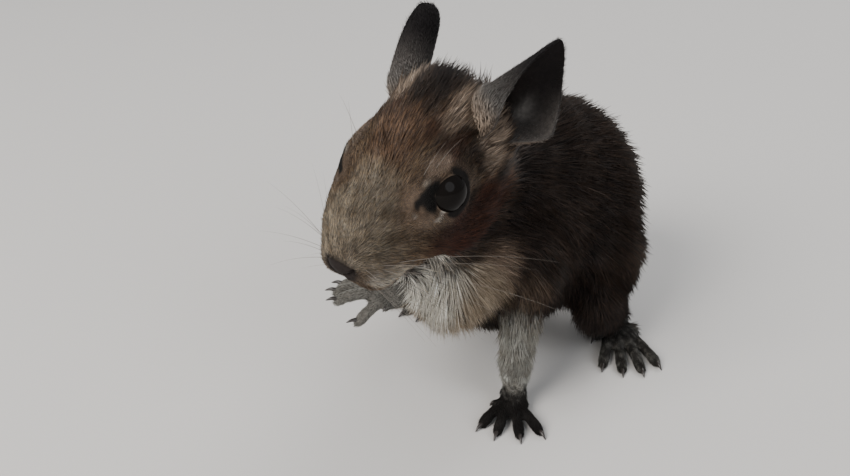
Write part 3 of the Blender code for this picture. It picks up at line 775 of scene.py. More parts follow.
def surface_tree(mesh):
    return BVHTree.FromPolygons([v.co for v in mesh.vertices], [p.vertices for p in mesh.polygons])


def carve(mesh, tree, side, groove):
    """Presses a groove into the skin."""
    route, width, depth = groove
    line = smooth_path([mm(side * x, y, z) for x, y, z in route], 8)
    path = [tree.find_nearest(HEAD @ point)[0] for point in line]
    gaps, _ = nearest(coordinates(mesh), path)
    sink(mesh, depth * np.exp(-((gaps / width) ** 2)))


def add_face(skin):
    """Finer faces round eyes, nose and mouth, then the nostrils, the cleft of the lip and the mouth."""
    bm = bmesh.new()
    bm.from_mesh(skin.data)
    spots = [(eye_place(side), FINE_EYE) for _, side in SIDES]
    spots.append((HEAD @ mm(0, 3.0, -3.5), FINE_NOSE))
    edges = []
    for edge in bm.edges:
        middle = (edge.verts[0].co + edge.verts[1].co) / 2
        if any((middle - spot).length < reach for spot, reach in spots):
            edges.append(edge)
    bmesh.ops.subdivide_edges(bm, edges=edges, cuts=1, use_grid_fill=True)
    bmesh.ops.triangulate(bm, faces=bm.faces)
    bm.to_mesh(skin.data)
    bm.free()
    tree = surface_tree(skin.data)
    for _, side in SIDES:
        carve(skin.data, tree, side, NOSTRIL)
        carve(skin.data, tree, side, MOUTH)
    carve(skin.data, tree, 1, CLEFT)


def ear_stand(form, side):
    """The frame of an ear: +Z along it to its tip, +X the way it opens."""
    axis = form["axis"].normalized()
    across = axis.cross(form["opens"]).normalized()
    stand = Matrix((across.cross(axis), across, axis)).transposed().to_4x4()
    return HEAD @ Matrix.Diagonal((side, 1, 1, 1)) @ Matrix.Translation(form["root"]) @ stand


def ear_place(form, u, v):
    """A place in an ear's wall, in the ear's frame: u runs from rim to rim and v from root to tip."""
    up = max(0.0, v)
    taper = (1 - (up * 0.993) ** form["taper"]) ** form["point"]
    swell = form["narrow"] + (1 - form["narrow"]) * math.sin(math.pi * min(1, up * 1.25))
    grip = EAR_GRIP + (1 - EAR_GRIP) * float(smooth_step(0, EAR_GRIP_HEIGHT, v + EAR_SUNK))
    half = form["width"] / 2 * swell * taper * grip
    curl = math.radians(form["curl"][0] + form["curl"][1] * (1 - up) ** 1.6)
    radius = half / math.sin(min(curl, math.pi / 2))
    bend = form["lean"] * up**2 + form["tip"] * (1 - taper) - form["flare"] * (1 - up) ** 2 * (1 - u * u)
    sideways = radius * math.sin(u * curl) + form["skew"] * up**2
    return Vector((radius * (1 - math.cos(u * curl)) + bend, sideways, form["length"] * v))


def ear_fold(u, v):
    """How far the inner wall stands forward, in metres: a ridge behind the middle, wrinkles and a lobe."""
    ridge = 0.0007 * math.exp(-(((u - 0.62 + 0.3 * v) / 0.13) ** 2)) * math.exp(-(((v - 0.29) / 0.17) ** 2))
    wrinkles = 0.00012 * math.sin(22 * v + 3 * u) * max(0.0, 1 - v * 1.3)
    lobe = 0.0012 * math.exp(-(((u - 0.75) / 0.3) ** 2) - ((v - 0.06) / 0.16) ** 2)
    return ridge + wrinkles + lobe


def ear_mesh(bm, form, side):
    """A thin cupped ear. Returns each vertex's place across and along it, and 1 inside or -1 outside."""
    across, along = 44, 52
    stand = ear_stand(form, side)
    middle = {}
    for i in range(across + 1):
        for j in range(along + 1):
            u, v = 2 * i / across - 1, (1 + EAR_SUNK) * j / along - EAR_SUNK
            middle[i, j] = (stand @ ear_place(form, u, v), u, v)
    verts, facts = {}, []
    for inside in (1, -1):
        for (i, j), (place, u, v) in middle.items():
            left, right = middle[max(0, i - 1), j][0], middle[min(across, i + 1), j][0]
            low, high = middle[i, max(0, j - 1)][0], middle[i, min(along, j + 1)][0]
            normal = (right - left).cross(high - low).normalized() * side
            rim = max(abs(u), 0 if v < 0.9 else (v - 0.9) * 10)
            thick = EAR_THICKNESS * (1 + 1.6 * max(0.0, 1 - v) ** 3) * (1 - 0.55 * rim**6)
            fold = ear_fold(u, v) * (1 - rim**4) if inside > 0 else 0
            verts[inside, i, j] = bm.verts.new(place + normal * (thick / 2 * inside + fold))
            facts.append((u, v, inside))
    faces = []
    for i in range(across):
        for j in range(along):
            faces.append([verts[1, i, j], verts[1, i + 1, j], verts[1, i + 1, j + 1], verts[1, i, j + 1]])
            faces.append([verts[-1, i, j + 1], verts[-1, i + 1, j + 1], verts[-1, i + 1, j], verts[-1, i, j]])
    rim = [(i, 0) for i in range(across)] + [(across, j) for j in range(along)]
    rim += [(i, along) for i in range(across, 0, -1)] + [(0, j) for j in range(along, 0, -1)]
    for (a, b), (c, d) in zip(rim, rim[1:] + rim[:1]):
        faces.append([verts[1, c, d], verts[1, a, b], verts[-1, a, b], verts[-1, c, d]])
    made = [bm.faces.new(corners) for corners in faces]
    bmesh.ops.recalc_face_normals(bm, faces=made)
    return facts


def ear_coat(facts, stand, palette, painted_light_factor):
    """Colours, flow and numbers of the hair on an ear, from the places that ear_mesh gives."""
    u, v, inside = np.array(facts).T
    within = (inside > 0).astype(float)
    edge = np.abs(u) ** 5
    base = smooth_step(0.55, 0.0, v)
    front = smooth_step(0.3, -0.5, u)
    pale = smooth_step(0.8, 0.1, v) * (0.7 + 0.3 * front)
    dark = many(palette["ear"], u)
    # The pale grey of the base, times a factor of painted light that differs from ear to ear
    grey = palette["ear_base"] * np.array([painted_light_factor] * 3 + [1])
    outer = blend(dark, grey, np.clip(pale, 0, 1))
    outer = blend(outer, palette["ring"], 0.8 * smooth_step(0.28, 0.04, v))
    depth = smooth_step(0.9, 0.1, np.abs(u)) * smooth_step(0.8, 0.2, v)
    # Painted highlights: the raised fold, the lobe and the lower rim inside the cup are painted the pale grey
    # of the ear's base
    fold = np.exp(-(((u - 0.62 + 0.3 * v) / 0.10) ** 2) - ((v - 0.27) / 0.12) ** 2)
    lobe = np.exp(-(((u - 0.7) / 0.35) ** 2) - ((v - 0.1) / 0.25) ** 2)
    inner = blend(many(palette["ear_inside"], u), palette["crown"], depth * 0.8)
    inner = blend(inner, palette["ear_base"], np.clip(fold + 0.35 * lobe, 0, 1))
    inner = blend(inner, palette["ear_base"], edge * 0.9 * smooth_step(0.7, 0.3, v))
    colour = blend(outer, inner, within)
    turn = np.array(stand.to_3x3())
    ways = np.stack([np.full(len(u), 0.2), u * 0.6, np.ones(len(u))], axis=1) @ turn.T
    length = np.where(inside < 0, 0.9 + 0.9 * base * front + 0.4 * base, 0.45 + 0.5 * edge)
    density = np.where(inside < 0, 13.0, 1.0 + 9 * edge)
    width = 0.11 + 0.06 * base * (1 - within)
    numbers = np.stack([length, np.zeros(len(u)), 0.16 + 0.1 * base * front, density, width], axis=1)
    return colour, ways, numbers


def store(mesh, name, values, kind="FLOAT", domain="POINT"):
    """Gives the mesh an attribute."""
    field = {"FLOAT_COLOR": "color", "FLOAT_VECTOR": "vector"}.get(kind, "value")
    number = np.int32 if kind == "INT" else np.float32
    mesh.attributes.new(name, kind, domain).data.foreach_set(field, np.asarray(values, number).ravel())


def build_skin(palette):
    """The one surface of flesh, with the attributes that say how its coat grows."""
    skin = body_mesh()
    add_face(skin)
    points = coordinates(skin.data)
    colour, (flow, numbers) = markings(points, palette), grooming(points)
    numbers[:, 3] *= 1 - bareness(points)
    bm = bmesh.new()
    bm.from_mesh(skin.data)
    for name, side in SIDES:
        facts = ear_mesh(bm, EAR_FORMS[name], side)
        more = ear_coat(facts, ear_stand(EAR_FORMS[name], side), palette, EAR_FORMS[name]["pale"])
        colour, flow, numbers = (np.concatenate(pair) for pair in zip((colour, flow, numbers), more))
    bm.to_mesh(skin.data)
    bm.free()
    points, normals = coordinates(skin.data), vertex_normals(skin.data)
    flow = unit(flow - normals * (flow * normals).sum(1)[:, None])
    way = unit(flow + normals * numbers[:, 2:3])
    soles = smooth_step(-0.5, -0.8, normals[:, 2]) * smooth_step(1.6, 0.8, (points[:, 2] - PIVOT.z) * 1000)
    numbers[:, 3] *= 1 - soles
    store(skin.data, "coat_colour", colour, "FLOAT_COLOR")
    store(skin.data, "coat_way", way, "FLOAT_VECTOR")
    store(skin.data, "coat_length", numbers[:, 0] * 0.001)
    store(skin.data, "coat_width", numbers[:, 4] * 0.001)
    store(skin.data, "coat_density", numbers[:, 3] * 1e6)
    store(skin.data, "bare", 1 - np.clip(numbers[:, 3] / 4, 0, 1))
    share_out(skin.data)
    skin.data.shade_smooth()
    unwrap(skin)
    return skin


def unwrap(target):
    """Lays the surface out flat under the map's name that the coat's tufts use too."""
    bpy.ops.object.select_all(action="DESELECT")
    target.select_set(True)
    bpy.context.view_layer.objects.active = target
    target.data.uv_layers.new(name=MAP_NAME)
    bpy.ops.object.mode_set(mode="EDIT")
    bpy.ops.mesh.select_all(action="SELECT")
    bpy.ops.uv.smart_project(angle_limit=math.radians(66), island_margin=0.002)
    bpy.ops.object.mode_set(mode="OBJECT")


def share_out(mesh):
    """Gives each face the number of its coat piece, in slices of like counts of tufts along the body."""
    faces = len(mesh.polygons)
    centres, areas = read(mesh.polygons, "center", width=3), read(mesh.polygons, "area")
    corners, starts = read(mesh.loops, "vertex_index", int), read(mesh.polygons, "loop_start", int)
    density = read(mesh.attributes["coat_density"].data, "value", np.float32)
    tufts = areas * density[corners[starts]]
    tail, _, _ = on_tail(centres)
    order = np.argsort(centres[:, 1] + 0.2 * (tail > 0.5))
    total = np.cumsum(tufts[order])
    number = np.empty(faces, np.int32)
    body = total[np.searchsorted(tail[order] > 0.5, True)] if (tail > 0.5).any() else total[-1]
    number[order] = np.minimum(total / (body / (COAT_PIECES - 1)), COAT_PIECES - 1.5).astype(np.int32)
    number[tail > 0.5] = COAT_PIECES - 1
    store(mesh, "coat_piece", number, "INT", "FACE")


class Socket:
    """An output of a node tree. Sums and products of sockets add their Math nodes."""

    def __init__(self, tree, socket):
        self.tree = tree
        self.socket = socket

    def maths(self, operation, *values):
        node = self.tree.nodes.new("ShaderNodeMath")
        node.operation = operation
        for slot, value in zip(node.inputs, values):
            plug(self.tree, slot, value)
        return Socket(self.tree, node.outputs[0])

    def __add__(self, other):
        return self.maths("ADD", self, other)

    def __sub__(self, other):
        return self.maths("SUBTRACT", self, other)

    def __rsub__(self, other):
        return self.maths("SUBTRACT", other, self)

    def __mul__(self, other):
        return self.maths("MULTIPLY", self, other)

    __radd__ = __add__
    __rmul__ = __mul__


def plug(tree, slot, value):
    if isinstance(value, Socket):
        tree.links.new(value.socket, slot)
    else:
        slot.default_value = value


class Tree:
    """Builds a node tree: add takes a node's type, its settings and what goes into its sockets."""

    def __init__(self, tree):
        self.tree = tree
        tree.nodes.clear()

    def add(self, kind, settings=(), inputs=(), output=0):
        node = self.tree.nodes.new(kind)
        for key, value in dict(settings).items():
            setattr(node, key, value)
        for key, value in dict(inputs).items():
            plug(self.tree, node.inputs[key], value)
        return Socket(self.tree, node.outputs[output]) if node.outputs else node

    def attribute(self, name, output="Fac"):
        return self.add("ShaderNodeAttribute", {"attribute_name": name}, output=output)

    def colour(self, name):
        return self.attribute(name, "Color")

    def mix(self, share, first, second, how="MIX"):
        # The colours' sockets share their names with those for numbers
        inputs = {0: share, 6: first, 7: second}
        return self.add("ShaderNodeMix", {"data_type": "RGBA", "blend_type": how}, inputs, 2)

    def times(self, colour, factor):
        """A colour times another colour, or times one number."""
        if isinstance(factor, Socket):
            parts = {"Red": factor, "Green": factor, "Blue": factor}
            factor = self.add("ShaderNodeCombineColor", inputs=parts)
        return self.mix(1.0, colour, factor, "MULTIPLY")

    def ramp(self, value, low, high, start=0.0, end=1.0):
        inputs = {"Value": value, "From Min": low, "From Max": high, "To Min": start, "To Max": end}
        return self.add("ShaderNodeMapRange", {"interpolation_type": "SMOOTHSTEP"}, inputs)

    def vectors(self, operation, *values):
        return self.add("ShaderNodeVectorMath", {"operation": operation}, dict(enumerate(values)))

    def scaled(self, vector, factor):
        return self.add("ShaderNodeVectorMath", {"operation": "SCALE"}, {0: vector, "Scale": factor})

    def stored(self, name, kind="FLOAT"):
        return self.add("GeometryNodeInputNamedAttribute", {"data_type": kind}, {"Name": name})

    def store(self, mesh, name, value, kind, domain):
        settings = {"data_type": kind, "domain": domain}
        inputs = {"Geometry": mesh, "Name": name, "Value": value}
        return self.add("GeometryNodeStoreNamedAttribute", settings, inputs)

    def chance(self, low, high, seed):
        """A random number for each point."""
        return self.add("FunctionNodeRandomValue", {"data_type": "FLOAT"}, {2: low, 3: high, "Seed": seed}, 1)


def material(name, base, roughness, bump=None, **fixed):
    """A new material. Its base is a colour, or a function that makes one in the tree as the bump's does."""
    made = bpy.data.materials.new(name)
    made.use_nodes = True
    tree = Tree(made.node_tree)
    inputs = {"Base Color": base(tree) if callable(base) else base, "Roughness": roughness}
    if bump:
        inputs["Normal"] = bump(tree)
    shader = tree.add("ShaderNodeBsdfPrincipled", inputs={**inputs, **fixed})
    tree.add("ShaderNodeOutputMaterial", inputs={"Surface": shader})
    return made


def object_place(tree):
    return tree.add("ShaderNodeTexCoord", output="Object")


def noise(tree, scale):
    inputs = {"Vector": object_place(tree), "Scale": scale, "Detail": 2.0}
    return tree.add("ShaderNodeTexNoise", inputs=inputs)


def hair_colour(tree):
    """Dark at the root, from the hair's own dark base and painted shade deep in the coat, the marking's
    colour above it, and on banded hairs a warm band under a dark tip.
    """
    share, chance = tree.attribute("hair_share"), tree.attribute("hair_chance")
    banded = tree.attribute("coat_colour", "Alpha")
    own = tree.times(tree.colour("coat_colour"), tree.ramp(chance, 0.0, 1.0, 0.72, 1.25))
    # Partly the dark base of agouti hair and partly painted shade deep in the coat
    root = tree.times(own, (0.30, 0.28, 0.28, 1))
    buff = tree.times(own, (1.85, 1.62, 1.30, 1))
    tip = tree.times(own, (0.28, 0.24, 0.24, 1))
    colour = tree.mix(tree.ramp(share, 0.05, 0.45), root, own)
    colour = tree.mix(tree.ramp(share, 0.45, 0.58) * tree.ramp(chance, 0.35, 0.5) * banded, colour, buff)
    return tree.mix(tree.ramp(share, 0.68, 0.88) * tree.ramp(chance, 0.75, 0.55) * banded, colour, tip)


def skin_colour(tree):
    """Under the coat the skin is a darker version of its colour, and bare skin shows its own."""
    own = tree.times(tree.colour("coat_colour"), tree.ramp(noise(tree, 1400.0), 0.3, 0.7, 0.75, 1.15))
    return tree.mix(tree.attribute("bare"), tree.times(own, (0.5, 0.47, 0.46, 1)), own)


def skin_bump(tree):
    fine = noise(tree, 2600.0) + noise(tree, 900.0) * 0.7
    return tree.add("ShaderNodeBump", inputs={"Strength": 0.35, "Distance": 0.00012, "Height": fine})


def tuft_mesh(name, rings, bend=0.0, sway=0.0):
    """One tapered tuft of three sides, of length and width 1, that bends towards the skin and to one side."""
    bm = bmesh.new()
    layer = bm.loops.layers.uv.new("patch")
    made = []
    for share, width, thick in rings:
        ring = []
        for angle in (210, 330, 90):
            x = math.cos(math.radians(angle)) * 0.5 * width + sway * share**2
            y = math.sin(math.radians(angle)) * thick - bend * share**2
            ring.append(bm.verts.new((x, y, share)))
        made.append(ring)
    tip = bm.verts.new((sway, -bend, 1.0))
    faces = [(made[0][::-1], [(0.3, 0.0), (0.6, 0.0), (0.45, 0.1)])]
    heights = [0.12 + 0.88 * share for share, *_ in rings]
    for k in range(3):
        after, u, v = (k + 1) % 3, k / 3, (k + 1) / 3
        for low, high, a, b in zip(made, made[1:], heights, heights[1:]):
            faces.append(([low[k], low[after], high[after]], [(u, a), (v, a), (v, b)]))
            faces.append(([low[k], high[after], high[k]], [(u, a), (v, b), (u, b)]))
        top = [made[-1][k], made[-1][after], tip]
        faces.append((top, [(u, heights[-1]), (v, heights[-1]), ((u + v) / 2, 1.0)]))
    for corners, spots in faces:
        face = bm.faces.new(corners)
        for loop, spot in zip(face.loops, spots):
            loop[layer].uv = spot
    mesh = bpy.data.meshes.new(name)
    bm.to_mesh(mesh)
    bm.free()
    store(mesh, "hair_share", [vertex.co.z for vertex in mesh.vertices])
    mesh.shade_smooth()
    return bpy.data.objects.new(name, mesh)


def tuft_kinds():
    """The bent tufts and then the short spike, in the order in which the coat's nodes count them."""
    made = bpy.data.collections.new("tufts")
    rings = ((0.0, 0.8, 0.020), (0.48, 0.82, 0.024))
    for index, (bend, sway) in enumerate(((0.14, 0.0), (0.20, 0.9), (0.10, -0.9))):
        made.objects.link(tuft_mesh("tuft_" + str(index), rings, bend, sway))
    made.objects.link(tuft_mesh("tuft_" + str(BENT_KINDS), ((0.0, 0.9, 0.045),)))
    return made


def coat_sockets(group):
    """Names the inputs of the coat's tree and gives them back by name."""
    numbers = ("Density", "Length", "Width", "Jitter", "Clumping", "Clump Size", "Patch Size", "Floor")
    kinds = {"Geometry": "Geometry", "Tufts": "Collection", "Piece": "Int"}
    kinds.update({name: "Float" for name in numbers})
    kinds.update({"Seed": "Int", "Material": "Material"})
    for name, kind in kinds.items():
        group.interface.new_socket(name, in_out="INPUT", socket_type="NodeSocket" + kind)
    group.interface.new_socket("Geometry", in_out="OUTPUT", socket_type="NodeSocketGeometry")
    source = group.nodes.new("NodeGroupInput")
    return {socket.name: Socket(group, socket) for socket in source.outputs}


def coat_roots(tree, group, given):
    """Points over the faces of one piece, and the skin's normal at each."""
    piece = tree.stored("coat_piece", "INT")
    chosen = tree.add(
        "FunctionNodeCompare", {"data_type": "INT", "operation": "EQUAL"}, {2: piece, 3: given["Piece"]}
    )
    spread = group.nodes.new("GeometryNodeDistributePointsOnFaces")
    spread.distribute_method = "RANDOM"
    plug(group, spread.inputs["Mesh"], given["Geometry"])
    plug(group, spread.inputs["Selection"], chosen)
    plug(group, spread.inputs["Density"], tree.stored("coat_density") * given["Density"])
    plug(group, spread.inputs["Seed"], given["Seed"])
    points, normal = Socket(group, spread.outputs["Points"]), Socket(group, spread.outputs["Normal"])
    return tree.store(points, "hair_chance", tree.chance(0.0, 1.0, 11), "FLOAT", "POINT"), normal


def coat_turn(tree, given, normal):
    """The way of each tuft: the lie of the coat, a pull to the middle of its clump and a little chance."""
    place = tree.add("GeometryNodeInputPosition")
    scale = {"Vector": place, "Scale": given["Clump Size"]}
    clump = tree.add("ShaderNodeTexVoronoi", {"voronoi_dimensions": "3D"}, scale, "Position")
    pull = tree.scaled(tree.vectors("SUBTRACT", clump, place), given["Clumping"])
    ranges = {0: (-1, -1, -1), 1: (1, 1, 1), "Seed": 5}
    stray = tree.add("FunctionNodeRandomValue", {"data_type": "FLOAT_VECTOR"}, ranges)
    pull = tree.vectors("ADD", pull, tree.scaled(stray, given["Jitter"]))
    way = tree.vectors("ADD", tree.stored("coat_way", "FLOAT_VECTOR"), pull)
    axes = {"primary_axis": "Z", "secondary_axis": "Y"}
    return tree.add("FunctionNodeAxesToRotation", axes, {"Primary Axis": way, "Secondary Axis": normal})


def coat_kind(tree, length):
    """Which tuft grows at each point: a spike where the coat is short, and else a bent tuft or a spike."""
    less = {"data_type": "FLOAT", "operation": "LESS_THAN"}
    short = tree.add("FunctionNodeCompare", less, {0: length, 1: SHORT_HAIR})
    numbers = {4: 0, 5: 2 * BENT_KINDS - 1, "Seed": 13}
    kind = tree.add("FunctionNodeRandomValue", {"data_type": "INT"}, numbers, 2)
    kind = kind.maths("MINIMUM", kind, float(BENT_KINDS))
    choice = {"Switch": short, "False": kind, "True": BENT_KINDS}
    return tree.add("GeometryNodeSwitch", {"input_type": "INT"}, choice)


def over_floor(tree, group, grown, floor):
    """Moves up to the floor what would hang through it."""
    apart = group.nodes.new("ShaderNodeSeparateXYZ")
    plug(group, apart.inputs["Vector"], tree.add("GeometryNodeInputPosition"))
    x, y, z = (Socket(group, socket) for socket in apart.outputs)
    above = tree.add("ShaderNodeCombineXYZ", inputs={"X": x, "Y": y, "Z": z.maths("MAXIMUM", z, floor)})
    return tree.add("GeometryNodeSetPosition", inputs={"Geometry": grown, "Position": above})


def coat_tree():
    """The node tree that grows one piece of the coat on the skin."""
    group = bpy.data.node_groups.new("Coat", "GeometryNodeTree")
    tree = Tree(group)
    given = coat_sockets(group)
    points, normal = coat_roots(tree, group, given)
    length = tree.stored("coat_length") * given["Length"]
    tall = tree.chance(0.7, 1.15, 7) * length
    broad = tree.chance(0.7, 1.2, 9) * tree.stored("coat_width") * given["Width"]
    tufts = {"Collection": given["Tufts"], "Separate Children": True, "Reset Children": True}
    inputs = {
        "Points": points,
        "Instance": tree.add("GeometryNodeCollectionInfo", inputs=tufts),
        "Pick Instance": True,
        "Instance Index": coat_kind(tree, length),
        "Rotation": coat_turn(tree, given, normal),
        "Scale": tree.add("ShaderNodeCombineXYZ", inputs={"X": broad, "Y": tall, "Z": tall}),
    }
    grown = tree.add("GeometryNodeInstanceOnPoints", inputs=inputs)
    grown = tree.add("GeometryNodeRealizeInstances", inputs={"Geometry": grown})
    patch = tree.scaled(tree.stored("patch", "FLOAT_VECTOR"), given["Patch Size"])
    spot = tree.vectors("ADD", tree.stored("root_spot", "FLOAT_VECTOR"), patch)
    grown = tree.store(grown, MAP_NAME, spot, "FLOAT2", "CORNER")
    grown = over_floor(tree, group, grown, given["Floor"])
    grown = tree.add("GeometryNodeSetMaterial", inputs={"Geometry": grown, "Material": given["Material"]})
    result = group.nodes.new("NodeGroupOutput")
    plug(group, result.inputs[0], grown)
    return group


def set_inputs(modifier, **values):
    """Sets the inputs of a node tree's modifier by their sockets' identifiers."""
    for item in modifier.node_group.interface.items_tree:
        if item.in_out == "INPUT" and item.name.replace(" ", "_") in values:
            modifier[item.identifier] = values[item.name.replace(" ", "_")]


# What the finished coat no longer needs
HELPERS = [
    "coat_piece",
    "coat_way",
    "coat_length",
    "coat_width",
    "coat_density",
    "bare",
    "root_spot",
    "patch",
    "sharp_face",
]


def grow(skin, group, tufts, index, settings, paint):
    """One piece of the coat as a plain mesh."""
    holder = link("coat_" + str(index + 1), skin.data)
    modifier = holder.modifiers.new("Coat", "NODES")
    modifier.node_group = group
    set_inputs(
        modifier,
        Tufts=tufts,
        Piece=index,
        Density=settings.density,
        Length=settings.length,
        Width=settings.width,
        Jitter=settings.stray,
        Clumping=settings.clumping,
        Clump_Size=CLUMP_SCALE,
        Patch_Size=PATCH_SIZE,
        Floor=FLOOR_GAP,
        Seed=settings.seed + index,
        Material=paint,
    )
    applied(holder)
    for name in HELPERS:
        if name in holder.data.attributes:
            holder.data.attributes.remove(holder.data.attributes[name])
    return holder


def add_tube(bm, path, radii, sides):
    """A closed tapered tube along a path."""
    rings, across = [], None
    for index, place in enumerate(path):
        way = (path[min(index + 1, len(path) - 1)] - path[max(index - 1, 0)]).normalized()
        across = way.orthogonal() if across is None else across - way * across.dot(way)
        across.normalize()
        other = way.cross(across)
        ring = []
        for step in range(sides):
            angle = math.tau * step / sides
            outwards = across * math.cos(angle) + other * math.sin(angle)
            ring.append(bm.verts.new(place + outwards * radii[index]))
        rings.append(ring)
    for low, high in zip(rings, rings[1:]):
        for step in range(sides):
            after = (step + 1) % sides
            bm.faces.new([low[step], low[after], high[after], high[step]])
    bm.faces.new(rings[0][::-1])
    bm.faces.new(rings[-1])


def build_claws():
    bm = bmesh.new()
    for place, toes, *_ in FEET_MADE:
        for line, forwards, radius, nail in toes:
            tip = line[-1]
            route = [
                tip - forwards @ mm(0, -0.8, 0),
                tip + forwards @ Vector((0, -nail * 0.45, 0.00025)),
                tip + forwards @ Vector((0, -nail, -0.00055)),
            ]
            path = [place @ point for point in smooth_path(route, 5)]
            shares = [index / (len(path) - 1) for index in range(len(path))]
            radii = [radius * 0.52 * (1 - share) ** 0.7 + 0.00005 for share in shares]
            for point, thickness in zip(path, radii):
                point.z = max(point.z, thickness + CLAW_GAP)
            add_tube(bm, path, radii, 8)
    claws = from_bmesh("claws", bm)
    claws.data.shade_smooth()
    return claws


def build_whiskers(skin, chance, longest):
    """Whiskers in rows on both sides of the muzzle, with a few over the eyes."""
    bm = bmesh.new()
    tree = surface_tree(skin.data)
    turn = HEAD.to_3x3()
    for _, side in SIDES:
        for row in range(4):
            for step in range(3):
                root = mm((3.8 + 0.8 * step) * side, 3.4 + 1.9 * step + 0.3 * row, -0.4 - 1.1 * row)
                way = Vector((side * 1.0, -0.1 + 0.42 * step, 0.22 - 0.22 * row))
                length = longest * (0.42 + 0.25 * step) * chance.uniform(0.75, 1.1)
                add_whisker(bm, tree.find_nearest(HEAD @ root)[0], turn @ way, length, chance)
        for step in range(2):
            root = tree.find_nearest(HEAD @ mm((8.0 + step) * side, 16.0 + 2.4 * step, 12.0))[0]
            add_whisker(bm, root, turn @ Vector((side * 0.5, 0.5, 1)), longest * 0.3, chance)
    return from_bmesh("whiskers", bm)


def add_whisker(bm, root, way, length, chance):
    way = (way.normalized() + Vector([chance.uniform(-0.12, 0.12) for _ in range(3)])).normalized()
    steps, path = 10, []
    for step in range(steps + 1):
        share = step / steps
        point = root + way * length * share + Vector((0, 0, -0.18 * length * share**2))
        point.z = max(point.z, PIVOT.z + FLOOR_GAP)
        path.append(point)
    add_tube(bm, path, [WHISKER_RADIUS * (1 - 0.85 * step / steps) for step in range(steps + 1)], 4)


def build_eye(name, side):
    bm = bmesh.new()
    bmesh.ops.create_uvsphere(bm, u_segments=48, v_segments=32, radius=EYE_RADIUS)
    bmesh.ops.translate(bm, verts=bm.verts, vec=eye_place(side))
    eye = from_bmesh("eyeball_" + name, bm)
    eye.data.shade_smooth()
    return eye


def colour_of(name, description, default):
    return bpy.props.FloatVectorProperty(
        name=name, description=description, default=default, size=3, min=0, max=1, subtype="COLOR"
    )


class DeguColours(bpy.types.PropertyGroup):
    back: colour_of("Back", "Back, flanks and rump", (0.028, 0.019, 0.015))
    belly: colour_of("Belly", "Underside of the trunk", (0.22, 0.185, 0.14))
    chest: colour_of("Chest", "Shaggy hair of the chest", (0.42, 0.34, 0.25))
    shoulder: colour_of("Shoulder", "Tan band from the shoulders to the chest", (0.27, 0.20, 0.148))
    leg: colour_of("Foreleg", "Lower part of the forelegs", (0.41, 0.40, 0.36))
    thigh: colour_of("Thigh", "Thighs and lower flanks", (0.026, 0.019, 0.017))
    face: colour_of("Face", "Sides of the head", (0.135, 0.100, 0.072))
    forehead: colour_of("Forehead", "Brow and forehead", (0.100, 0.064, 0.046))
    muzzle: colour_of("Muzzle", "Bridge and sides of the muzzle", (0.205, 0.178, 0.140))
    # A very dark reddish brown: below the eyes it stands for painted shade as well as the cheek's own colour
    cheek: colour_of("Cheek", "Below and behind the eyes", (0.048, 0.018, 0.011))
    crown: colour_of("Crown", "Stripe between the ears, lids and brush of the tail", (0.011, 0.007, 0.006))
    ring: colour_of("Eye ring", "Pale hair over the eyes and at the ears", (0.25, 0.195, 0.150))
    throat: colour_of("Throat", "Chin, throat and the crescent under the eyes", (0.86, 0.83, 0.75))
    nose: colour_of("Nose", "Bare tip of the nose", (0.016, 0.012, 0.011))
    foot: colour_of("Feet", "Feet and toes", (0.008, 0.0062, 0.0055))
    ear: colour_of("Ears", "Outer side of the ears", (0.011, 0.0088, 0.0095))
    ear_base: colour_of("Ear base", "Pale grey hair at the front of the ears' base", (0.120, 0.112, 0.104))
    ear_inside: colour_of("Inside of the ears", "Thinly haired inner side of the ears", (0.008, 0.006, 0.006))
    eye: colour_of("Eyes", "Dark of the eyes", (0.005, 0.004, 0.0035))
    claw: colour_of("Claws", "Horn of the claws", (0.025, 0.020, 0.018))
    whisker: colour_of("Whiskers", "Whiskers", (0.16, 0.14, 0.12))


def factor_of(name, description, default):
    return bpy.props.FloatProperty(name=name, description=description, default=default, min=0)


class DeguCoat(bpy.types.PropertyGroup):
    length: factor_of("Length", "Factor on the length of the coat", 1.0)
    width: factor_of("Width", "Factor on the width of a tuft", 1.0)
    density: factor_of("Density", "Factor on the number of tufts", 1.0)
    stray: factor_of("Stray", "How far tufts stray from the lie", 0.16)
    clumping: factor_of("Clumping", "Pull of tips towards the middle of their clump, per metre apart", 75.0)
    seed: bpy.props.IntProperty(name="Seed", description="Which of the many like coats it is", default=3)


def length_of(name, description, default):
    return bpy.props.FloatProperty(name=name, description=description, default=default, min=0, unit="LENGTH")


class DeguSizes(bpy.types.PropertyGroup):
    whisker_length: length_of("Whiskers", "Length of the longest whiskers", 0.030)
    floor: length_of("Floor", "Side of the floor", 8.0)


# How banded the hairs of these colours are
BANDED = {
    "back": 0.55,
    "thigh": 0.5,
    "face": 1,
    "forehead": 0.9,
    "muzzle": 0.7,
    "cheek": 0.7,
    "crown": 0.1,
    "ring": 0.2,
}


def settings_of(group):
    """The names of a group's own settings."""
    return [name for name in group.bl_rna.properties.keys() if name not in ("rna_type", "name")]


def palette_of(scene):
    """The settings' colours with a fourth number, how banded the hairs of that colour are."""
    colours = scene.degu_colours
    names = settings_of(colours)
    return {name: np.array([*getattr(colours, name), BANDED.get(name, 0.0)]) for name in names}


def opaque(colour):
    return (*colour[:3], 1.0)


class DEGU_OT_skin(bpy.types.Operator):
    """Makes the one surface of flesh under the coat, with ears, lids, nose and mouth"""

    bl_idname = "degu.skin"
    bl_label = "Skin"

    def execute(self, context):
        skin = build_skin(palette_of(context.scene))
        paint = material("skin", skin_colour, 0.7, skin_bump, **{"Specular IOR Level": 0.12})
        skin.data.materials.append(paint)
        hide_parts(*FLESH, *FEET, *TAIL, *EARS)
        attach(skin, "root")
        return {"FINISHED"}


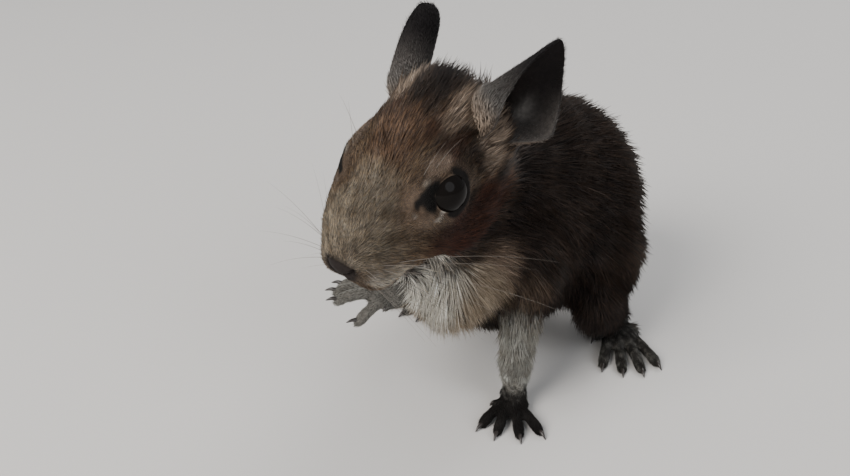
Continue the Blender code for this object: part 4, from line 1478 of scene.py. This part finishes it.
class DEGU_OT_coat(bpy.types.Operator):
    """Grows the coat on the skin in several pieces"""

    bl_idname = "degu.coat"
    bl_label = "Coat"

    def execute(self, context):
        skin = bpy.data.objects["skin"]
        source = link("coat_source", skin.data.copy())
        keep_spots(source.data)
        tufts = tuft_kinds()
        group = coat_tree()
        paint = material("coat", hair_colour, 0.62, **{"Specular IOR Level": 0.25})
        for index in range(COAT_PIECES):
            piece = grow(source, group, tufts, index, context.scene.degu_coat, paint)
            if not piece.data.polygons:
                raise RuntimeError(piece.name + " has no tufts")
            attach(piece, "root")
        remove(source, *tufts.objects)
        bpy.data.collections.remove(tufts)
        return {"FINISHED"}


def keep_spots(mesh):
    """Copies the map to a plain attribute that the node tree can read at each root."""
    spots = np.zeros((len(mesh.loops), 3), np.float32)
    spots[:, :2] = read(mesh.uv_layers[MAP_NAME].uv, "vector", np.float32, 2)
    store(mesh, "root_spot", spots, "FLOAT_VECTOR", "CORNER")
    mesh.uv_layers.remove(mesh.uv_layers[MAP_NAME])


class DEGU_OT_eyes(bpy.types.Operator):
    """Sets the two glossy eyes between their lids"""

    bl_idname = "degu.eyes"
    bl_label = "Eyes"

    def execute(self, context):
        colour = opaque(context.scene.degu_colours.eye)
        gloss = {"Specular IOR Level": 0.13, "IOR": 1.38}
        paint = material("eye", colour, 0.07, **gloss)
        for name, side in SIDES:
            eye = build_eye(name, side)
            eye.data.materials.append(paint)
            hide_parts("eye_" + name)
            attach(eye, "root")
        return {"FINISHED"}


class DEGU_OT_claws(bpy.types.Operator):
    """Makes the claws of all four feet"""

    bl_idname = "degu.claws"
    bl_label = "Claws"

    def execute(self, context):
        claws = build_claws()
        claws.data.materials.append(material("claw", opaque(context.scene.degu_colours.claw), 0.35))
        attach(claws, "root")
        return {"FINISHED"}


class DEGU_OT_whiskers(bpy.types.Operator):
    """Makes the whiskers"""

    bl_idname = "degu.whiskers"
    bl_label = "Whiskers"

    def execute(self, context):
        longest = context.scene.degu_sizes.whisker_length
        whiskers = build_whiskers(bpy.data.objects["skin"], random.Random(4), longest)
        whiskers.data.materials.append(material("whisker", opaque(context.scene.degu_colours.whisker), 0.4))
        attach(whiskers, "root")
        return {"FINISHED"}


def add_light(name, place, aim, size, power, colour):
    data = bpy.data.lights.new(name, "AREA")
    data.shape = "DISK"
    data.size = size
    data.energy = power
    data.color = colour
    lamp = bpy.data.objects.new(name, data)
    bpy.context.scene.collection.objects.link(lamp)
    lamp.location = place
    lamp.rotation_euler = (aim - place).to_track_quat("-Z", "Y").to_euler()


class DEGU_OT_stage(bpy.types.Operator):
    """Sets the pale floor, the soft lights and the camera"""

    bl_idname = "degu.stage"
    bl_label = "Stage"

    def execute(self, context):
        scene = context.scene
        half = scene.degu_sizes.floor / 2
        mesh = bpy.data.meshes.new("floor")
        corners = [(-half, -half, 0), (half, -half, 0), (half, half, 0), (-half, half, 0)]
        mesh.from_pydata(corners, [], [range(4)])
        floor = link("floor", mesh)
        floor.data.materials.append(material("floor", (0.62, 0.60, 0.58, 1), 0.8))
        aim = PIVOT + Vector((0, 0.01, 0.035))
        add_light("key", Vector((-0.25, -0.85, 0.68)), aim, 0.6, 14.0, (1.0, 0.97, 0.93))
        add_light("fill", Vector((0.85, -0.45, 0.60)), aim, 0.8, 4.0, (0.92, 0.95, 1.0))
        add_light("back", Vector((0.15, 0.85, 0.80)), aim, 0.6, 5.0, (1.0, 1.0, 1.0))
        world = bpy.data.worlds.new("studio")
        world.use_nodes = True
        tree = Tree(world.node_tree)
        sky = tree.add("ShaderNodeBackground", inputs={"Color": (0.86, 0.88, 0.90, 1), "Strength": 0.55})
        tree.add("ShaderNodeOutputWorld", inputs={"Surface": sky})
        scene.world = world
        data = bpy.data.cameras.new("camera")
        data.lens = CAMERA_LENS
        data.sensor_width = 36.0
        data.clip_start = 0.01
        camera = bpy.data.objects.new("camera", data)
        scene.collection.objects.link(camera)
        camera.location = PIVOT + CAMERA_PLACE
        azimuth, elevation = CAMERA_TURN
        flat = math.cos(elevation)
        way = Vector((-math.sin(azimuth) * flat, math.cos(azimuth) * flat, -math.sin(elevation)))
        camera.rotation_euler = way.to_track_quat("-Z", "Y").to_euler()
        scene.camera = camera
        return {"FINISHED"}


STEPS = ("skin", "coat", "eyes", "claws", "whiskers", "stage")


class DEGU_PT_panel(bpy.types.Panel):
    """Lists the pieces and their settings"""

    bl_idname = "DEGU_PT_panel"
    bl_label = "Degu"
    bl_space_type = "VIEW_3D"
    bl_region_type = "UI"
    bl_category = "Degu"

    def draw(self, context):
        layout = self.layout
        for step in STEPS:
            layout.operator("degu." + step)
        for group in (context.scene.degu_sizes, context.scene.degu_coat, context.scene.degu_colours):
            for name in settings_of(group):
                layout.prop(group, name)


GROUPS = {"degu_colours": DeguColours, "degu_coat": DeguCoat, "degu_sizes": DeguSizes}
CLASSES = (
    *GROUPS.values(),
    DEGU_OT_skin,
    DEGU_OT_coat,
    DEGU_OT_eyes,
    DEGU_OT_claws,
    DEGU_OT_whiskers,
    DEGU_OT_stage,
    DEGU_PT_panel,
)


def register():
    for cls in CLASSES:
        bpy.utils.register_class(cls)
    for name, group in GROUPS.items():
        setattr(bpy.types.Scene, name, bpy.props.PointerProperty(type=group))


def unregister():
    for name in GROUPS:
        delattr(bpy.types.Scene, name)
    for cls in reversed(CLASSES):
        bpy.utils.unregister_class(cls)


def main():
    register()
    for step in STEPS:
        getattr(bpy.ops.degu, step)()


if __name__ == "__main__":
    main()
